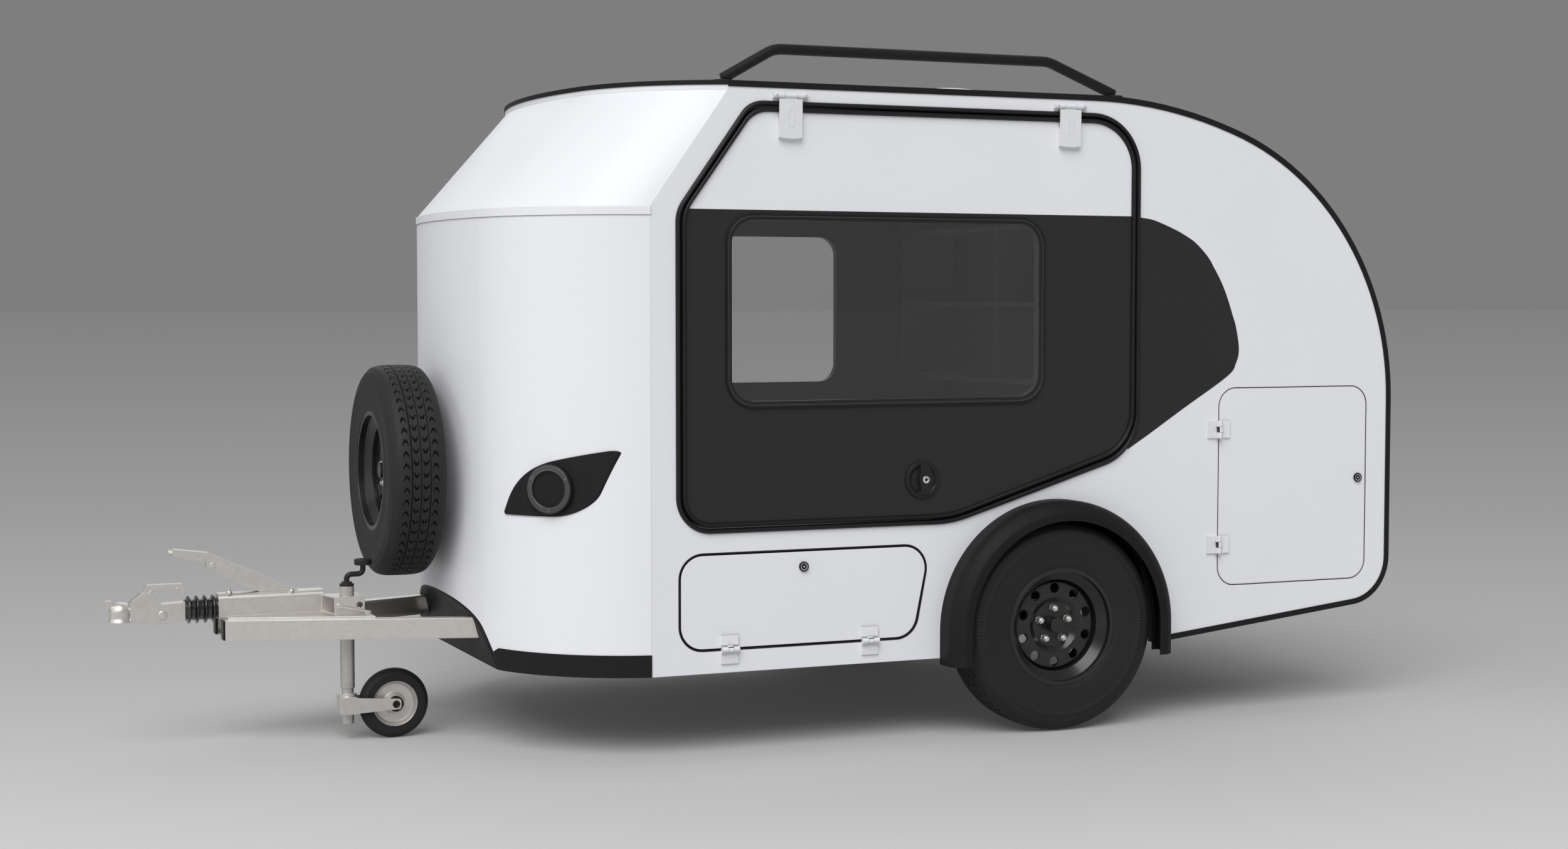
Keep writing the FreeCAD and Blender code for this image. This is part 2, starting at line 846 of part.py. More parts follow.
def make_shell():
    left = side_wall()
    keep("side_wall_left", left)
    keep("side_wall_right", mirrored(left))

    panel = nose_piece("nose_panel", nose_ring, s.skirt_height, crease_low, 0, s.skin_thickness)
    cut(panel, "XZ_Plane", -half_width, half_width, before_apron(0))
    for side in (1, -1):
        cut(panel, "XY_Plane", s.skirt_height - s.overrun, s.floor_height + s.drawbar_clear,
            drawbar_outline(side, s.drawbar_clear))
    keep("nose_panel", panel)

    band = nose_piece("nose_trim", nose_ring, crease_low, crease_height, -s.trim_proud, s.skin_thickness)
    keep("nose_trim", band)

    hood = doc.addObject("Part::Loft", "nose_hood")
    hood.Sections = [free_sketch("hood_foot", "XY_Plane", crease_height),
                     free_sketch("hood_brow", "XY_Plane", roof_under)]
    nose_ring(hood.Sections[0], 0, s.skin_thickness)
    nose_ring(hood.Sections[1], 0, s.skin_thickness, back(cap_setback), s.cap_reach)
    hood.Solid = True
    hood.Ruled = True
    keep("nose_hood", hood)

    cap = nose_piece("roof_cap", nose_disc, roof_under, s.roof_height, 0, at=back(cap_setback),
                     reach=s.cap_reach)
    strip = roof_band("roof_strip", -s.roof_thickness, s.heel_reach, -inner_half, inner_half)
    roof = keep("roof_panel", fused("roof_panel", [strip, cap]))

    tail = s.wall_length - s.wheel_back - s.fender_root_radius - s.lid_gap
    side_flange = roof_band("trim_side", -s.trim_width, tail, half_width, half_width + s.trim_proud)
    top_flange = roof_band("trim_top", s.trim_proud, tail, half_width - s.trim_width,
                           half_width + s.trim_proud)
    side_trim = fused("side_trim", [side_flange, top_flange])
    lip = nose_piece("roof_lip", nose_ring, s.roof_height - s.lip_drop, s.roof_height + s.trim_proud,
                     -s.trim_proud, 0, at=back(cap_setback), reach=s.cap_reach)
    keep("edge_trims", fused("edge_trims", [side_trim, mirrored(side_trim), lip]))
    return roof


def make_skirt():
    """Black bands along the foot of the nose, and the apron that closes the space under it."""
    band_top = s.skirt_height + s.band_height
    band = nose_piece("skirt_band", nose_ring, s.skirt_height, band_top, -s.trim_proud, 0)
    cut(band, "XZ_Plane", -half_width, half_width, before_apron(0))
    cut(band, "YZ_Plane", front, front + s.nose_reach + s.overrun,
        [(-s.bevel_start, s.bevel_height), (-s.bevel_end, band_top), (-s.bevel_end, band_top + s.overrun),
         (s.bevel_end, band_top + s.overrun), (s.bevel_end, band_top), (s.bevel_start, s.bevel_height)])
    top = s.apron_top + s.overrun
    apron = nose_piece("apron", nose_disc, s.skirt_height, top, 0)
    cut(apron, "XZ_Plane", -half_width, half_width, before_apron(s.apron_thickness))
    cut(apron, "XZ_Plane", -half_width, half_width,
        apron_face(0) + [(front - s.overrun, top), (front - s.overrun, s.skirt_height - s.overrun)])
    for side in (1, -1):
        cut(apron, "XY_Plane", frame_low - s.drawbar_clear, s.floor_height + s.drawbar_clear,
            drawbar_outline(side, s.drawbar_clear))
    keep("nose_skirt", gathered("nose_skirt", [band, apron]))


# Floor and frame

def make_frame():
    body = new_body("floor_panel")
    low, high = s.floor_height, floor_top
    box_x = s.wheel_box_radius + s.wheel_box_wall
    box_y = inner_half - s.wheel_box_depth
    tub_y = inner_half - s.locker_tub_depth
    pad(body, "XY_Plane", low, high,
        [(front, -inner_half), (front, inner_half), (rear + s.floor_tail_gap, inner_half),
         (rear + s.floor_tail_gap, -inner_half)])
    sketch = sketch_on(body, "XY_Plane", low)
    nose_disc(sketch, s.skin_thickness)
    nose = body.newObject("PartDesign::Pad", "floor_nose")
    nose.Profile = sketch
    bind(nose, "Length", high - low)
    cut(body, "XZ_Plane", -half_width, half_width, before_apron(0))
    for side in (1, -1):
        cut(body, "XY_Plane", low, high,
            [(wheel_x + box_x, side * box_y), (wheel_x + box_x, side * half_width),
             (wheel_x - box_x, side * half_width), (wheel_x - box_x, side * box_y)],
            [(back(s.locker_front - s.wall_thickness), side * tub_y),
             (back(s.locker_front - s.wall_thickness), side * half_width),
             (back(s.locker_rear + s.wall_thickness), side * half_width),
             (back(s.locker_rear + s.wall_thickness), side * tub_y)])
    keep("floor_panel", body)

    cross_rear = back(s.cross_width)
    rail = block("chassis_rail", (back(s.rail_rear_back), cross_rear),
                 (rail_side - s.rail_width / 2, rail_side + s.rail_width / 2), (frame_low, s.floor_height))
    keep("chassis_rails", gathered("chassis_rails", [rail, mirrored(rail)]))

    members = [block("cross_front", (cross_rear, front),
                     (-rail_side - s.rail_width, rail_side + s.rail_width),
                     (frame_low, s.floor_height))]
    inside = rail_side - s.rail_width / 2
    for number in range(1, 4):
        start = back(s.cross_spacing * number + s.cross_width)
        members.append(block(f"cross_{number}", (start, start + s.cross_width), (-inside, inside),
                             (frame_low, s.floor_height)))
    keep("cross_members", gathered("cross_members", members))

    beam = new_body("drawbar")
    half = s.beam_width / 2 / cosine(s.drawbar_angle)
    tip = front + s.drawbar_reach
    pad(beam, "XY_Plane", frame_low, s.floor_height, drawbar_outline(1, 0))
    web = s.beam_wall / cosine(s.drawbar_angle)
    cut(beam, "XY_Plane", frame_low + s.beam_wall, s.floor_height - s.beam_wall,
        [(tip, s.drawbar_front_half - half), (tip, s.drawbar_front_half + half - web),
         (front, rail_side + half - web), (front, rail_side - half)])
    keep("drawbars", gathered("drawbars", [beam, mirrored(beam)]))


def make_axle():
    lead = wheel_x + s.axle_lead
    half = s.axle_tube / 2
    beam = block("axle_beam", (lead - half, lead + half), (-s.axle_half, s.axle_half),
                 (s.axle_height - half, s.axle_height + half))
    keep("axle_beam", beam)

    arm = new_body("trailing_arm")
    arm_in = s.axle_half + s.fit_gap
    arm_out = arm_in + s.arm_width
    r = s.arm_boss_radius
    pad(arm, "XZ_Plane", arm_in, arm_out,
        [(lead + r, s.axle_height - r, r / 2), (lead + r, s.axle_height + r, r / 2),
         (wheel_x - r, s.tyre_radius + r, r / 2), (wheel_x - r, s.tyre_radius - r, r / 2)])
    pad(arm, "XZ_Plane", arm_out, s.wheel_track_half + s.disc_offset,
        (wheel_x, s.tyre_radius, s.spindle_radius))
    keep("trailing_arms", gathered("trailing_arms", [arm, mirrored(arm)]))


# Wheels

def tyre(name):
    """Tyre about the Y axis, with its middle plane at Y = 0."""
    body = new_body(name)
    half, tread = s.tyre_width / 2, s.tread_width / 2
    r, bead = s.tyre_radius, s.tyre_bead_radius
    shoulder = r - (half - tread) * 0.45
    rim_half = s.rim_width / 2 - s.fit_gap
    step, lip = s.rim_flange_radius + s.fit_gap, s.rim_width / 2 + s.rim_wall + s.fit_gap
    waist = bead + (r - bead) * 0.42
    turned(body, "XY_Plane", 0, 0, 0,
           [(bead, -rim_half), (step, -rim_half), (step, -lip), (waist, -half, half / 3),
            (shoulder, -tread, half / 8),
            (r, -tread * 0.72, half / 3), (r, tread * 0.72, half / 3), (shoulder, tread, half / 8),
            (waist, half, half / 3), (step, lip), (step, rim_half), (bead, rim_half)])
    return body


def rim(name, with_hub):
    """Steel rim and disc about the Y axis, outside towards +Y, with its lug nuts."""
    body = new_body(name)
    half, bead = s.rim_width / 2, s.tyre_bead_radius - s.fit_gap
    flange, wall = s.rim_flange_radius, s.rim_wall
    barrel = s.rim_barrel_radius
    well = barrel - wall * 2
    turned(body, "XY_Plane", 0, 0, 0,
           [(flange, half + wall), (flange, half), (bead, half), (bead, half - wall * 2),
            (barrel, half - wall * 4),
            (barrel, -half + wall * 4), (bead, -half + wall * 2), (bead, -half), (flange, -half),
            (flange, -half - wall), (bead - wall, -half - wall), (bead - wall, -half + wall * 2),
            (well, -half + wall * 5), (well, half - wall * 5), (bead - wall, half - wall * 2),
            (bead - wall, half + wall)])
    disc_in = s.disc_offset
    disc_out = disc_in + s.disc_thickness
    turned(body, "XY_Plane", 0, 0, 0,
           [(s.spindle_radius + s.bearing_play, disc_in), (s.vent_circle_radius * 0.6, disc_in),
            (s.vent_circle_radius * 0.75, disc_in + wall * 2, wall),
            (s.vent_circle_radius * 1.15, disc_in + wall * 2, wall),
            (well + wall, disc_in - wall * 2), (well + wall, disc_in),
            (s.vent_circle_radius * 1.15, disc_out + wall * 2, wall),
            (s.vent_circle_radius * 0.75, disc_out + wall * 2, wall),
            (s.vent_circle_radius * 0.6, disc_out), (s.spindle_radius + s.bearing_play, disc_out)])
    hole = cut(body, "XZ_Plane", disc_in - wall, disc_out + wall * 4,
               (s.vent_circle_radius, 0 * wall, s.vent_radius))
    repeat_round(body, hole, s.vent_count)
    lug = pad(body, "XZ_Plane", disc_out - s.fit_gap, disc_out + s.lug_height,
              (s.lug_circle / 2, 0 * wall, s.lug_radius))
    repeat_round(body, lug, s.lug_count)
    pad(body, "XZ_Plane", disc_out - s.fit_gap, disc_out + s.cap_height, (0 * wall, 0 * wall, s.cap_radius))
    if with_hub:
        pad(body, "XZ_Plane", disc_in - s.hub_depth, disc_in,
            (0 * wall, 0 * wall, s.hub_radius), (0 * wall, 0 * wall, s.spindle_radius + s.bearing_play))
    return body


def placed(name, item, x, y, z, turn=None):
    """Copy of a piece at a place, turned if a rotation is given."""
    link = doc.addObject("Part::Compound", name)
    link.Links = [item]
    if turn:
        link.Placement = FreeCAD.Placement(Vector(), turn)
    for letter, place in zip("xyz", (x, y, z)):
        bind(link, f".Placement.Base.{letter}", place)
    return link


def make_wheels():
    rubber = tyre("tyre")
    steel = rim("rim", True)
    left_tyre = placed("tyre_left", rubber, wheel_x, s.wheel_track_half, s.tyre_radius)
    left_rim = placed("rim_left", steel, wheel_x, s.wheel_track_half, s.tyre_radius)
    keep("tyre_left", left_tyre)
    keep("rim_left", left_rim)
    keep("tyre_right", mirrored(left_tyre))
    keep("rim_right", mirrored(left_rim))

    facing = FreeCAD.Rotation(Vector(0, 0, 1), -90)
    spare_x = front + s.spare_reach
    keep("spare_tyre", placed("spare_tyre", tyre("spare_rubber"), spare_x, 0, s.spare_height, facing))
    spare = rim("spare_steel", False)
    keep("spare_rim", placed("spare_rim", spare, spare_x, 0, s.spare_height, facing))

    plate = nose_piece("carrier_plate", nose_ring, s.spare_height - s.carrier_half,
                       s.spare_height + s.carrier_half,
                       -s.carrier_thickness, -s.fit_gap / 3)
    trimmed = shared("carrier_base", plate, block("carrier_area", (front, front + s.spare_reach),
                     (-s.carrier_half, s.carrier_half),
                     (s.spare_height - s.carrier_half, s.spare_height + s.carrier_half)))
    disc_back = spare_x + s.disc_offset
    start = front + s.nose_reach + s.carrier_thickness - s.trim_proud
    tube = rod("carrier_tube", "X", start, disc_back, 0, s.spare_height, s.carrier_tube_radius)
    stub = rod("carrier_stub", "X", disc_back - s.fit_gap, disc_back + s.disc_thickness - s.fit_gap * 2,
               0, s.spare_height, s.spindle_radius)
    keep("spare_carrier", fused("spare_carrier", [trimmed, tube, stub]))


def make_fender():
    body = new_body("fender")
    z = s.tyre_radius
    wall, out = s.fender_wall, half_width + s.fender_depth

    def section(side):
        return [(side * s.fender_root_radius, half_width),
                (side * s.fender_root_radius, out - s.fender_shoulder_radius / 2, s.fender_shoulder_radius),
                (side * s.fender_lip_radius, out, s.fender_shoulder_radius / 3),
                (side * s.fender_inner_radius, out), (side * s.fender_inner_radius, out - wall),
                (side * (s.fender_lip_radius - wall), out - wall, s.fender_shoulder_radius / 4),
                (side * (s.fender_root_radius - wall), out - s.fender_shoulder_radius / 2 - wall,
                 s.fender_shoulder_radius - wall),
                (side * (s.fender_root_radius - wall), half_width)]

    turned(body, "XY_Plane", z, wheel_x, 0, section(1), angle=180)
    for side in (1, -1):
        sketch = sketch_on(body, "XY_Plane", s.fender_bottom, wheel_x, 0)
        draw_outline(sketch, section(side))
        leg = body.newObject("PartDesign::Pad", "fender_leg")
        leg.Profile = sketch
        bind(leg, "Length", z - s.fender_bottom)
    keep("fenders", gathered("fenders", [body, mirrored(body)]))

    box = new_body("wheel_box")
    r, t = s.wheel_box_radius, s.wheel_box_wall
    inner = inner_half - s.wheel_box_depth

    def arch(grow):
        return [(wheel_x + r + grow, s.floor_height), (wheel_x + r + grow, z + r + grow, r / 2 + grow),
                (wheel_x - r - grow, z + r + grow, r / 2 + grow), (wheel_x - r - grow, s.floor_height)]

    pad(box, "XZ_Plane", inner, inner_half, arch(t - s.fit_gap))
    low_arch = arch(0 * t)
    low_arch[0] = (wheel_x + r, s.floor_height - s.overrun)
    low_arch[3] = (wheel_x - r, s.floor_height - s.overrun)
    cut(box, "XZ_Plane", inner + t, inner_half + s.overrun, low_arch)
    keep("wheel_boxes", gathered("wheel_boxes", [box, mirrored(box)]))


# Doors, hatches and their hinges

# Corners of the latch's grip from the ring's centre, towards the rear and up: shares of the ring's radius,
# and shares of it for a round
grip_shares = [(-0.15, 0.79, 0.06), (0.28, 0.79, 0.08), (0.66, 0, 0.5), (0.28, -0.79, 0.08),
               (-0.15, -0.79, 0.06),
               (-0.23, 0, 1.5)]


def door_latch():
    """Round latch on the door: a ring, a dish sunk inside it and an upright grip across the dish."""
    latch = new_body("door_latch")
    r, x = s.latch_radius, back(s.latch_back)
    lip = r - s.latch_ring_width
    turned(latch, "XY_Plane", s.latch_height, x, half_width,
           [(0 * r, 0 * r), (r, 0 * r), (r, s.latch_proud, s.latch_floor),
            (lip, s.latch_proud, s.latch_floor),
            (lip - s.latch_proud, s.latch_floor), (0 * r, s.latch_floor)])
    pad(latch, "XZ_Plane", half_width + s.latch_floor, half_width + s.latch_floor + s.latch_grip_depth,
        [(x - r * across, s.latch_height + r * up, r * turn) for across, up, turn in grip_shares])
    return latch


def make_door():
    in_edge = s.seal_width * 2 + s.seal_gap
    frame = new_body("door_frame")
    pad(frame, "XZ_Plane", inner_half, half_width + s.seal_proud, door_outline(0),
        door_outline(s.seal_width))
    keep("door_frames", gathered("door_frames", [frame, mirrored(frame)]))

    panel = new_body("door_panel")
    pad(panel, "XZ_Plane", inner_half, half_width, door_outline(in_edge), window_outline(s.window_lap))
    seal = new_body("door_seal")
    pad(seal, "XZ_Plane", inner_half, half_width + s.seal_proud,
        door_outline(s.seal_width + s.seal_gap), door_outline(in_edge))
    pane = new_body("door_window")
    pad(pane, "XZ_Plane", half_width, half_width + s.pane_thickness, window_outline(0))

    axis_y = half_width + s.hinge_stand
    axis_z = door_top + s.hinge_pin_lift
    leaf_y = axis_y - s.leaf_thickness / 2
    bore = s.hinge_pin_radius + s.hinge_play
    leaves, bases = [], []
    for name, at in (("front", s.door_hinge_front), ("rear", s.door_hinge_rear)):
        x = back(at)
        barrel = rod(f"barrel_{name}", "X", x - s.barrel_half, x + s.barrel_half, axis_y, axis_z,
                     s.hinge_barrel_radius)
        arm = block(f"leaf_{name}", (x - s.leaf_width / 2, x + s.leaf_width / 2),
                    (leaf_y, leaf_y + s.leaf_thickness),
                    (axis_z - s.leaf_drop, axis_z - s.hinge_barrel_radius - s.barrel_gap))
        neck = block(f"neck_{name}", (x - s.barrel_half, x + s.barrel_half),
                     (leaf_y, leaf_y + s.leaf_thickness),
                     (axis_z - s.hinge_barrel_radius * 2, axis_z))
        foot = block(f"foot_{name}", (x - s.leaf_width / 2, x + s.leaf_width / 2),
                     (half_width, leaf_y + s.leaf_thickness),
                     (axis_z - s.leaf_drop, axis_z - s.leaf_drop + s.leaf_foot))
        solid = fused(f"hinge_leaf_{name}", [barrel, arm, neck, foot])
        hole = rod(f"hinge_bore_{name}", "X", x - s.leaf_width, x + s.leaf_width, axis_y, axis_z, bore)
        leaves.append(less(f"hinge_moving_{name}", solid, hole))
        plate_low = door_top + s.barrel_gap
        plate = block(f"base_plate_{name}", (x - s.hinge_bar_half, x + s.hinge_bar_half),
                      (half_width, axis_y - s.hinge_barrel_radius - s.barrel_gap),
                      (plate_low, axis_z + s.hinge_barrel_radius + s.barrel_gap))
        pin = rod(f"pin_{name}", "X", x - s.hinge_bar_half, x + s.hinge_bar_half, axis_y, axis_z,
                  s.hinge_pin_radius)
        ends = []
        for tag, sign in (("a", -1), ("b", 1)):
            near = x + sign * (s.barrel_half + s.barrel_gap)
            far = x + sign * s.hinge_bar_half
            lo, hi = (far, near) if sign < 0 else (near, far)
            ends.append(rod(f"ear_{tag}_{name}", "X", lo, hi, axis_y, axis_z, s.hinge_barrel_radius))
            ends.append(block(f"ear_root_{tag}_{name}", (lo, hi), (half_width, axis_y),
                              (axis_z - s.hinge_barrel_radius + s.hinge_play,
                               axis_z + s.hinge_barrel_radius - s.hinge_play)))
        bases.append(fused(f"hinge_base_{name}", [plate, pin] + ends))
    hardware = gathered("door_hardware", leaves)
    for label, item in (("door_panel", panel), ("door_seal", seal), ("door_window", pane),
                        ("door_hardware", hardware), ("door_latch", door_latch())):
        keep(f"{label}_left", item)
        keep(f"{label}_right", mirrored(item))
    return bases


def make_locker():
    """Bottom-hinged hatch low in the side, with its tub behind the wall."""
    lid = new_body("locker_panel")
    pad(lid, "XZ_Plane", inner_half, half_width, locker_outline(s.lid_gap))
    lock = rod("locker_lock", "Y", half_width, half_width + s.lock_depth, back(s.locker_lock_back),
               s.locker_lock_height, s.lock_radius)
    axis_y = half_width + s.hinge_stand
    axis_z = s.locker_bottom
    r = s.hinge_barrel_radius
    pieces, bases = [lid, lock], []
    for name, at in (("fore", s.locker_hinge_front), ("aft", s.locker_hinge_rear)):
        x = back(at)
        w = s.locker_leaf_half
        third = w / 3
        mid = rod(f"knuckle_{name}", "X", x - third + s.barrel_gap, x + third - s.barrel_gap, axis_y,
                  axis_z, r)
        up = block(f"flap_{name}", (x - w, x + w), (half_width, half_width + s.leaf_thickness),
                   (axis_z + r + s.lid_gap, axis_z + s.locker_leaf_height))
        web = block(f"web_{name}", (x - third + s.barrel_gap, x + third - s.barrel_gap),
                    (half_width + s.barrel_gap, axis_y),
                    (axis_z, axis_z + r + s.lid_gap + s.barrel_gap))
        hole = rod(f"knuckle_bore_{name}", "X", x - w, x + w, axis_y, axis_z,
                   s.hinge_pin_radius + s.hinge_play)
        pieces.append(less(f"lid_hinge_{name}", fused(f"lid_leaf_{name}", [mid, up, web]), hole))
        down = block(f"fixed_{name}", (x - w, x + w), (half_width, half_width + s.leaf_thickness),
                     (axis_z - s.locker_leaf_height, axis_z - r))
        pin = rod(f"lid_pin_{name}", "X", x - w, x + w, axis_y, axis_z, s.hinge_pin_radius)
        parts = [down, pin]
        for tag, sign in (("a", -1), ("b", 1)):
            near, far = x + sign * third, x + sign * w
            lo, hi = (far, near) if sign < 0 else (near, far)
            parts.append(rod(f"end_{tag}_{name}", "X", lo, hi, axis_y, axis_z, r))
            parts.append(block(f"end_root_{tag}_{name}", (lo, hi), (half_width + s.fit_gap, axis_y),
                               (axis_z - r * 1.5, axis_z)))
        bases.append(fused(f"lid_base_{name}", parts))
    whole = fused("locker_lid", pieces)
    keep("locker_lid_left", whole)
    keep("locker_lid_right", mirrored(whole))

    tub = new_body("locker_tub")
    t = s.deck_thickness / 2
    lo_z = s.locker_bottom - s.wall_thickness
    hi_z = s.deck_height - s.deck_thickness
    x0 = back(s.locker_rear + s.wall_thickness)
    x1 = back(s.locker_front - s.wall_thickness)
    y0 = inner_half - s.locker_tub_depth
    pad(tub, "XY_Plane", lo_z, hi_z, [(x0, y0), (x1, y0), (x1, inner_half), (x0, inner_half)])
    cut(tub, "XY_Plane", lo_z + t, hi_z, [(x0 + t, y0 + t), (x1 - t, y0 + t),
                                          (x1 - t, inner_half + s.overrun),
                                          (x0 + t, inner_half + s.overrun)])
    keep("locker_tubs", gathered("locker_tubs", [tub, mirrored(tub)]))
    return bases


def make_store():
    """Front-hinged hatch behind the wheel."""
    lid = new_body("store_panel")
    pad(lid, "XZ_Plane", inner_half, half_width, store_outline(s.lid_gap))
    lock = rod("store_lock", "Y", half_width, half_width + s.lock_depth, back(s.store_lock_back),
               s.store_lock_height, s.lock_radius)
    axis_y = half_width + s.hinge_stand
    x = back(s.store_front)
    r = s.hinge_barrel_radius
    pieces, bases = [lid, lock], []
    for name, at in (("high", s.store_hinge_high), ("low", s.store_hinge_low)):
        w = s.store_leaf_half
        third = w / 3
        mid = rod(f"store_knuckle_{name}", "Z", at - third + s.barrel_gap, at + third - s.barrel_gap, x,
                  axis_y, r)
        flap = block(f"store_flap_{name}", (x - s.store_leaf_length, x - r - s.lid_gap),
                     (half_width, half_width + s.leaf_thickness),
                     (at - w, at + w))
        web = block(f"store_web_{name}", (x - r - s.lid_gap - s.barrel_gap, x),
                    (half_width + s.barrel_gap, axis_y),
                    (at - third + s.barrel_gap, at + third - s.barrel_gap))
        hole = rod(f"store_bore_{name}", "Z", at - w, at + w, x, axis_y, s.hinge_pin_radius + s.hinge_play)
        pieces.append(less(f"store_hinge_{name}", fused(f"store_leaf_{name}", [mid, flap, web]), hole))
        base = block(f"store_fixed_{name}", (x + r, x + s.store_leaf_length),
                     (half_width, half_width + s.leaf_thickness),
                     (at - w, at + w))
        pin = rod(f"store_pin_{name}", "Z", at - w, at + w, x, axis_y, s.hinge_pin_radius)
        parts = [base, pin]
        for tag, sign in (("a", -1), ("b", 1)):
            near, far = at + sign * third, at + sign * w
            lo, hi = (far, near) if sign < 0 else (near, far)
            parts.append(rod(f"store_end_{tag}_{name}", "Z", lo, hi, x, axis_y, r))
            parts.append(block(f"store_end_root_{tag}_{name}", (x, x + r * 1.5),
                               (half_width + s.fit_gap, axis_y), (lo, hi)))
        bases.append(fused(f"store_base_{name}", parts))
    whole = fused("store_lid", pieces)
    keep("store_lid_left", whole)
    keep("store_lid_right", mirrored(whole))
    return bases


def make_openings():
    bases = make_door() + make_locker() + make_store()
    side = gathered("hinge_set", bases)
    keep("hinge_bases", gathered("hinge_bases", [side, mirrored(side)]))


# Cabin

def make_cabin():
    deck = new_body("bed_deck")
    low = s.deck_height - s.deck_thickness
    pad(deck, "XY_Plane", low, s.deck_height,
        [(front, -inner_half), (front, inner_half), (back(s.shelf_back), inner_half),
         (back(s.shelf_back), -inner_half)])
    sketch = sketch_on(deck, "XY_Plane", low)
    nose_disc(sketch, s.skin_thickness + s.fit_gap)
    nose = deck.newObject("PartDesign::Pad", "deck_nose")
    nose.Profile = sketch
    bind(nose, "Length", s.deck_thickness)
    box_x = s.wheel_box_radius + s.wheel_box_wall
    box_y = inner_half - s.wheel_box_depth
    for side in (1, -1):
        cut(deck, "XY_Plane", low, s.deck_height,
            [(wheel_x + box_x, side * box_y), (wheel_x + box_x, side * half_width),
             (wheel_x - box_x, side * half_width), (wheel_x - box_x, side * box_y)])
    keep("bed_deck", deck)

    unit = new_body("shelf_case")
    t, middle = s.shelf_board, s.shelf_board / 2
    shelf_top = s.roof_height - s.shelf_top_drop
    pad(unit, "YZ_Plane", back(s.shelf_back), back(s.shelf_front),
        [(-inner_half, s.deck_height), (inner_half, s.deck_height), (inner_half, shelf_top),
         (-inner_half, shelf_top)])
    pitch = (shelf_top - s.shelf_first) / s.shelf_tiers
    levels = [s.deck_height + s.shelf_foot]
    levels += [s.shelf_first + pitch * n for n in range(sizes["shelf_tiers"])]
    side = inner_half - t
    for low_level, high_level in zip(levels, levels[1:] + [shelf_top]):
        under = high_level - t
        cut(unit, "YZ_Plane", back(s.shelf_back) + t, back(s.shelf_front) + s.overrun,
            [(middle, low_level), (side, low_level), (side, under), (middle, under)],
            [(-middle, low_level), (-side, low_level), (-side, under), (-middle, under)])
    notch = block("wheel_box_notch", (wheel_x - box_x, wheel_x + box_x), (box_y, half_width),
                  (s.floor_height, s.tyre_radius + box_x))
    unit = less("shelf_unit", unit, gathered("wheel_box_notches", [notch, mirrored(notch)]))
    keep("shelf_unit", unit)


# Roof fittings

def make_roof_fittings(roof):
    rail = new_body("roof_rail")
    path = sketch_on(rail, "XZ_Plane", s.rail_side)
    foot = s.roof_height + s.rail_tube_radius
    draw_outline(path, [(back(s.rail_foot_front), foot),
                        (back(s.rail_bend_front), rail_top, s.rail_bend_radius),
                        (back(s.rail_bend_rear), rail_top, s.rail_bend_radius),
                        (back(s.rail_foot_rear), foot)], closed=False)
    section = sketch_on(rail, "YZ_Plane", back((s.rail_bend_front + s.rail_bend_rear) / 2))
    draw_circle(section, s.rail_side, rail_top, s.rail_tube_radius)
    pipe = rail.newObject("PartDesign::AdditivePipe", "rail_pipe")
    pipe.Profile = section
    pipe.Spine = path
    feet = []
    for name, at in (("front", s.rail_foot_front), ("rear", s.rail_foot_rear)):
        post = rod(f"rail_foot_{name}", "Z", s.roof_height - s.rail_flange_thickness * 2,
                   s.roof_height + s.rail_flange_thickness * 2, back(at), s.rail_side, s.rail_flange_radius)
        feet.append(less(f"rail_flange_{name}", post, roof))
    whole = fused("roof_rail_set", [rail] + feet)
    keep("roof_rails", gathered("roof_rails", [whole, mirrored(whole)]))

    vent = new_body("vent_base")
    x, h = back(s.vent_back), s.vent_half
    c = s.vent_corner
    pad(vent, "XY_Plane", s.roof_height, s.roof_height + s.vent_flange,
        [(x - h, -h, c), (x + h, -h, c), (x + h, h, c), (x - h, h, c)])
    h, top = h - s.vent_step, s.roof_height + s.vent_height
    dome = new_body("vent_dome")
    pad(dome, "XY_Plane", s.roof_height + s.vent_flange, top,
        [(x - h, -h, c), (x + h, -h, c), (x + h, h, c), (x - h, h, c)])
    crown = doc.addObject("Part::Sphere", "vent_crown")
    bind(crown, "Radius", s.vent_crown_radius)
    bind(crown, ".Placement.Base.x", x)
    bind(crown, ".Placement.Base.z", top - s.vent_crown_radius)
    keep("roof_vent", fused("roof_vent", [vent, shared("vent_cover", dome, crown)]))


# Lamps and rear fittings

# Corners of the lamp surround from the lamp's centre and their rounds, as shares of the lamp's radius
leaf_shares = [(-1.89, -1.1, 0.1), (-1.13, 0.72, 2.9), (1.62, 1.59, 0.1), (1.03, -1.1, 1.25)]


def lamp_place(distance):
    """X and Y at a distance from the centre of the nose's corner arc, along the lamp's line."""
    x, y = corner_centre(s.nose_reach)
    return front + x + distance * cosine(s.lamp_angle), y + distance * sine(s.lamp_angle)


def round_lamp(name, radius, proud):
    """Lamp about the Z axis: a rounded ring with the lens sunk inside it."""
    body = new_body(name)
    lens, sunk = radius - s.lamp_ring_width, proud - s.lamp_lens_depth
    bezel = s.lamp_ring_width / 4
    turned(body, "XZ_Plane", 0, 0, 0,
           [(0 * radius, 0 * proud), (radius, 0 * proud), (radius, proud, bezel),
            (lens + bezel, proud, bezel),
            (lens, sunk), (0 * radius, sunk)])
    return body


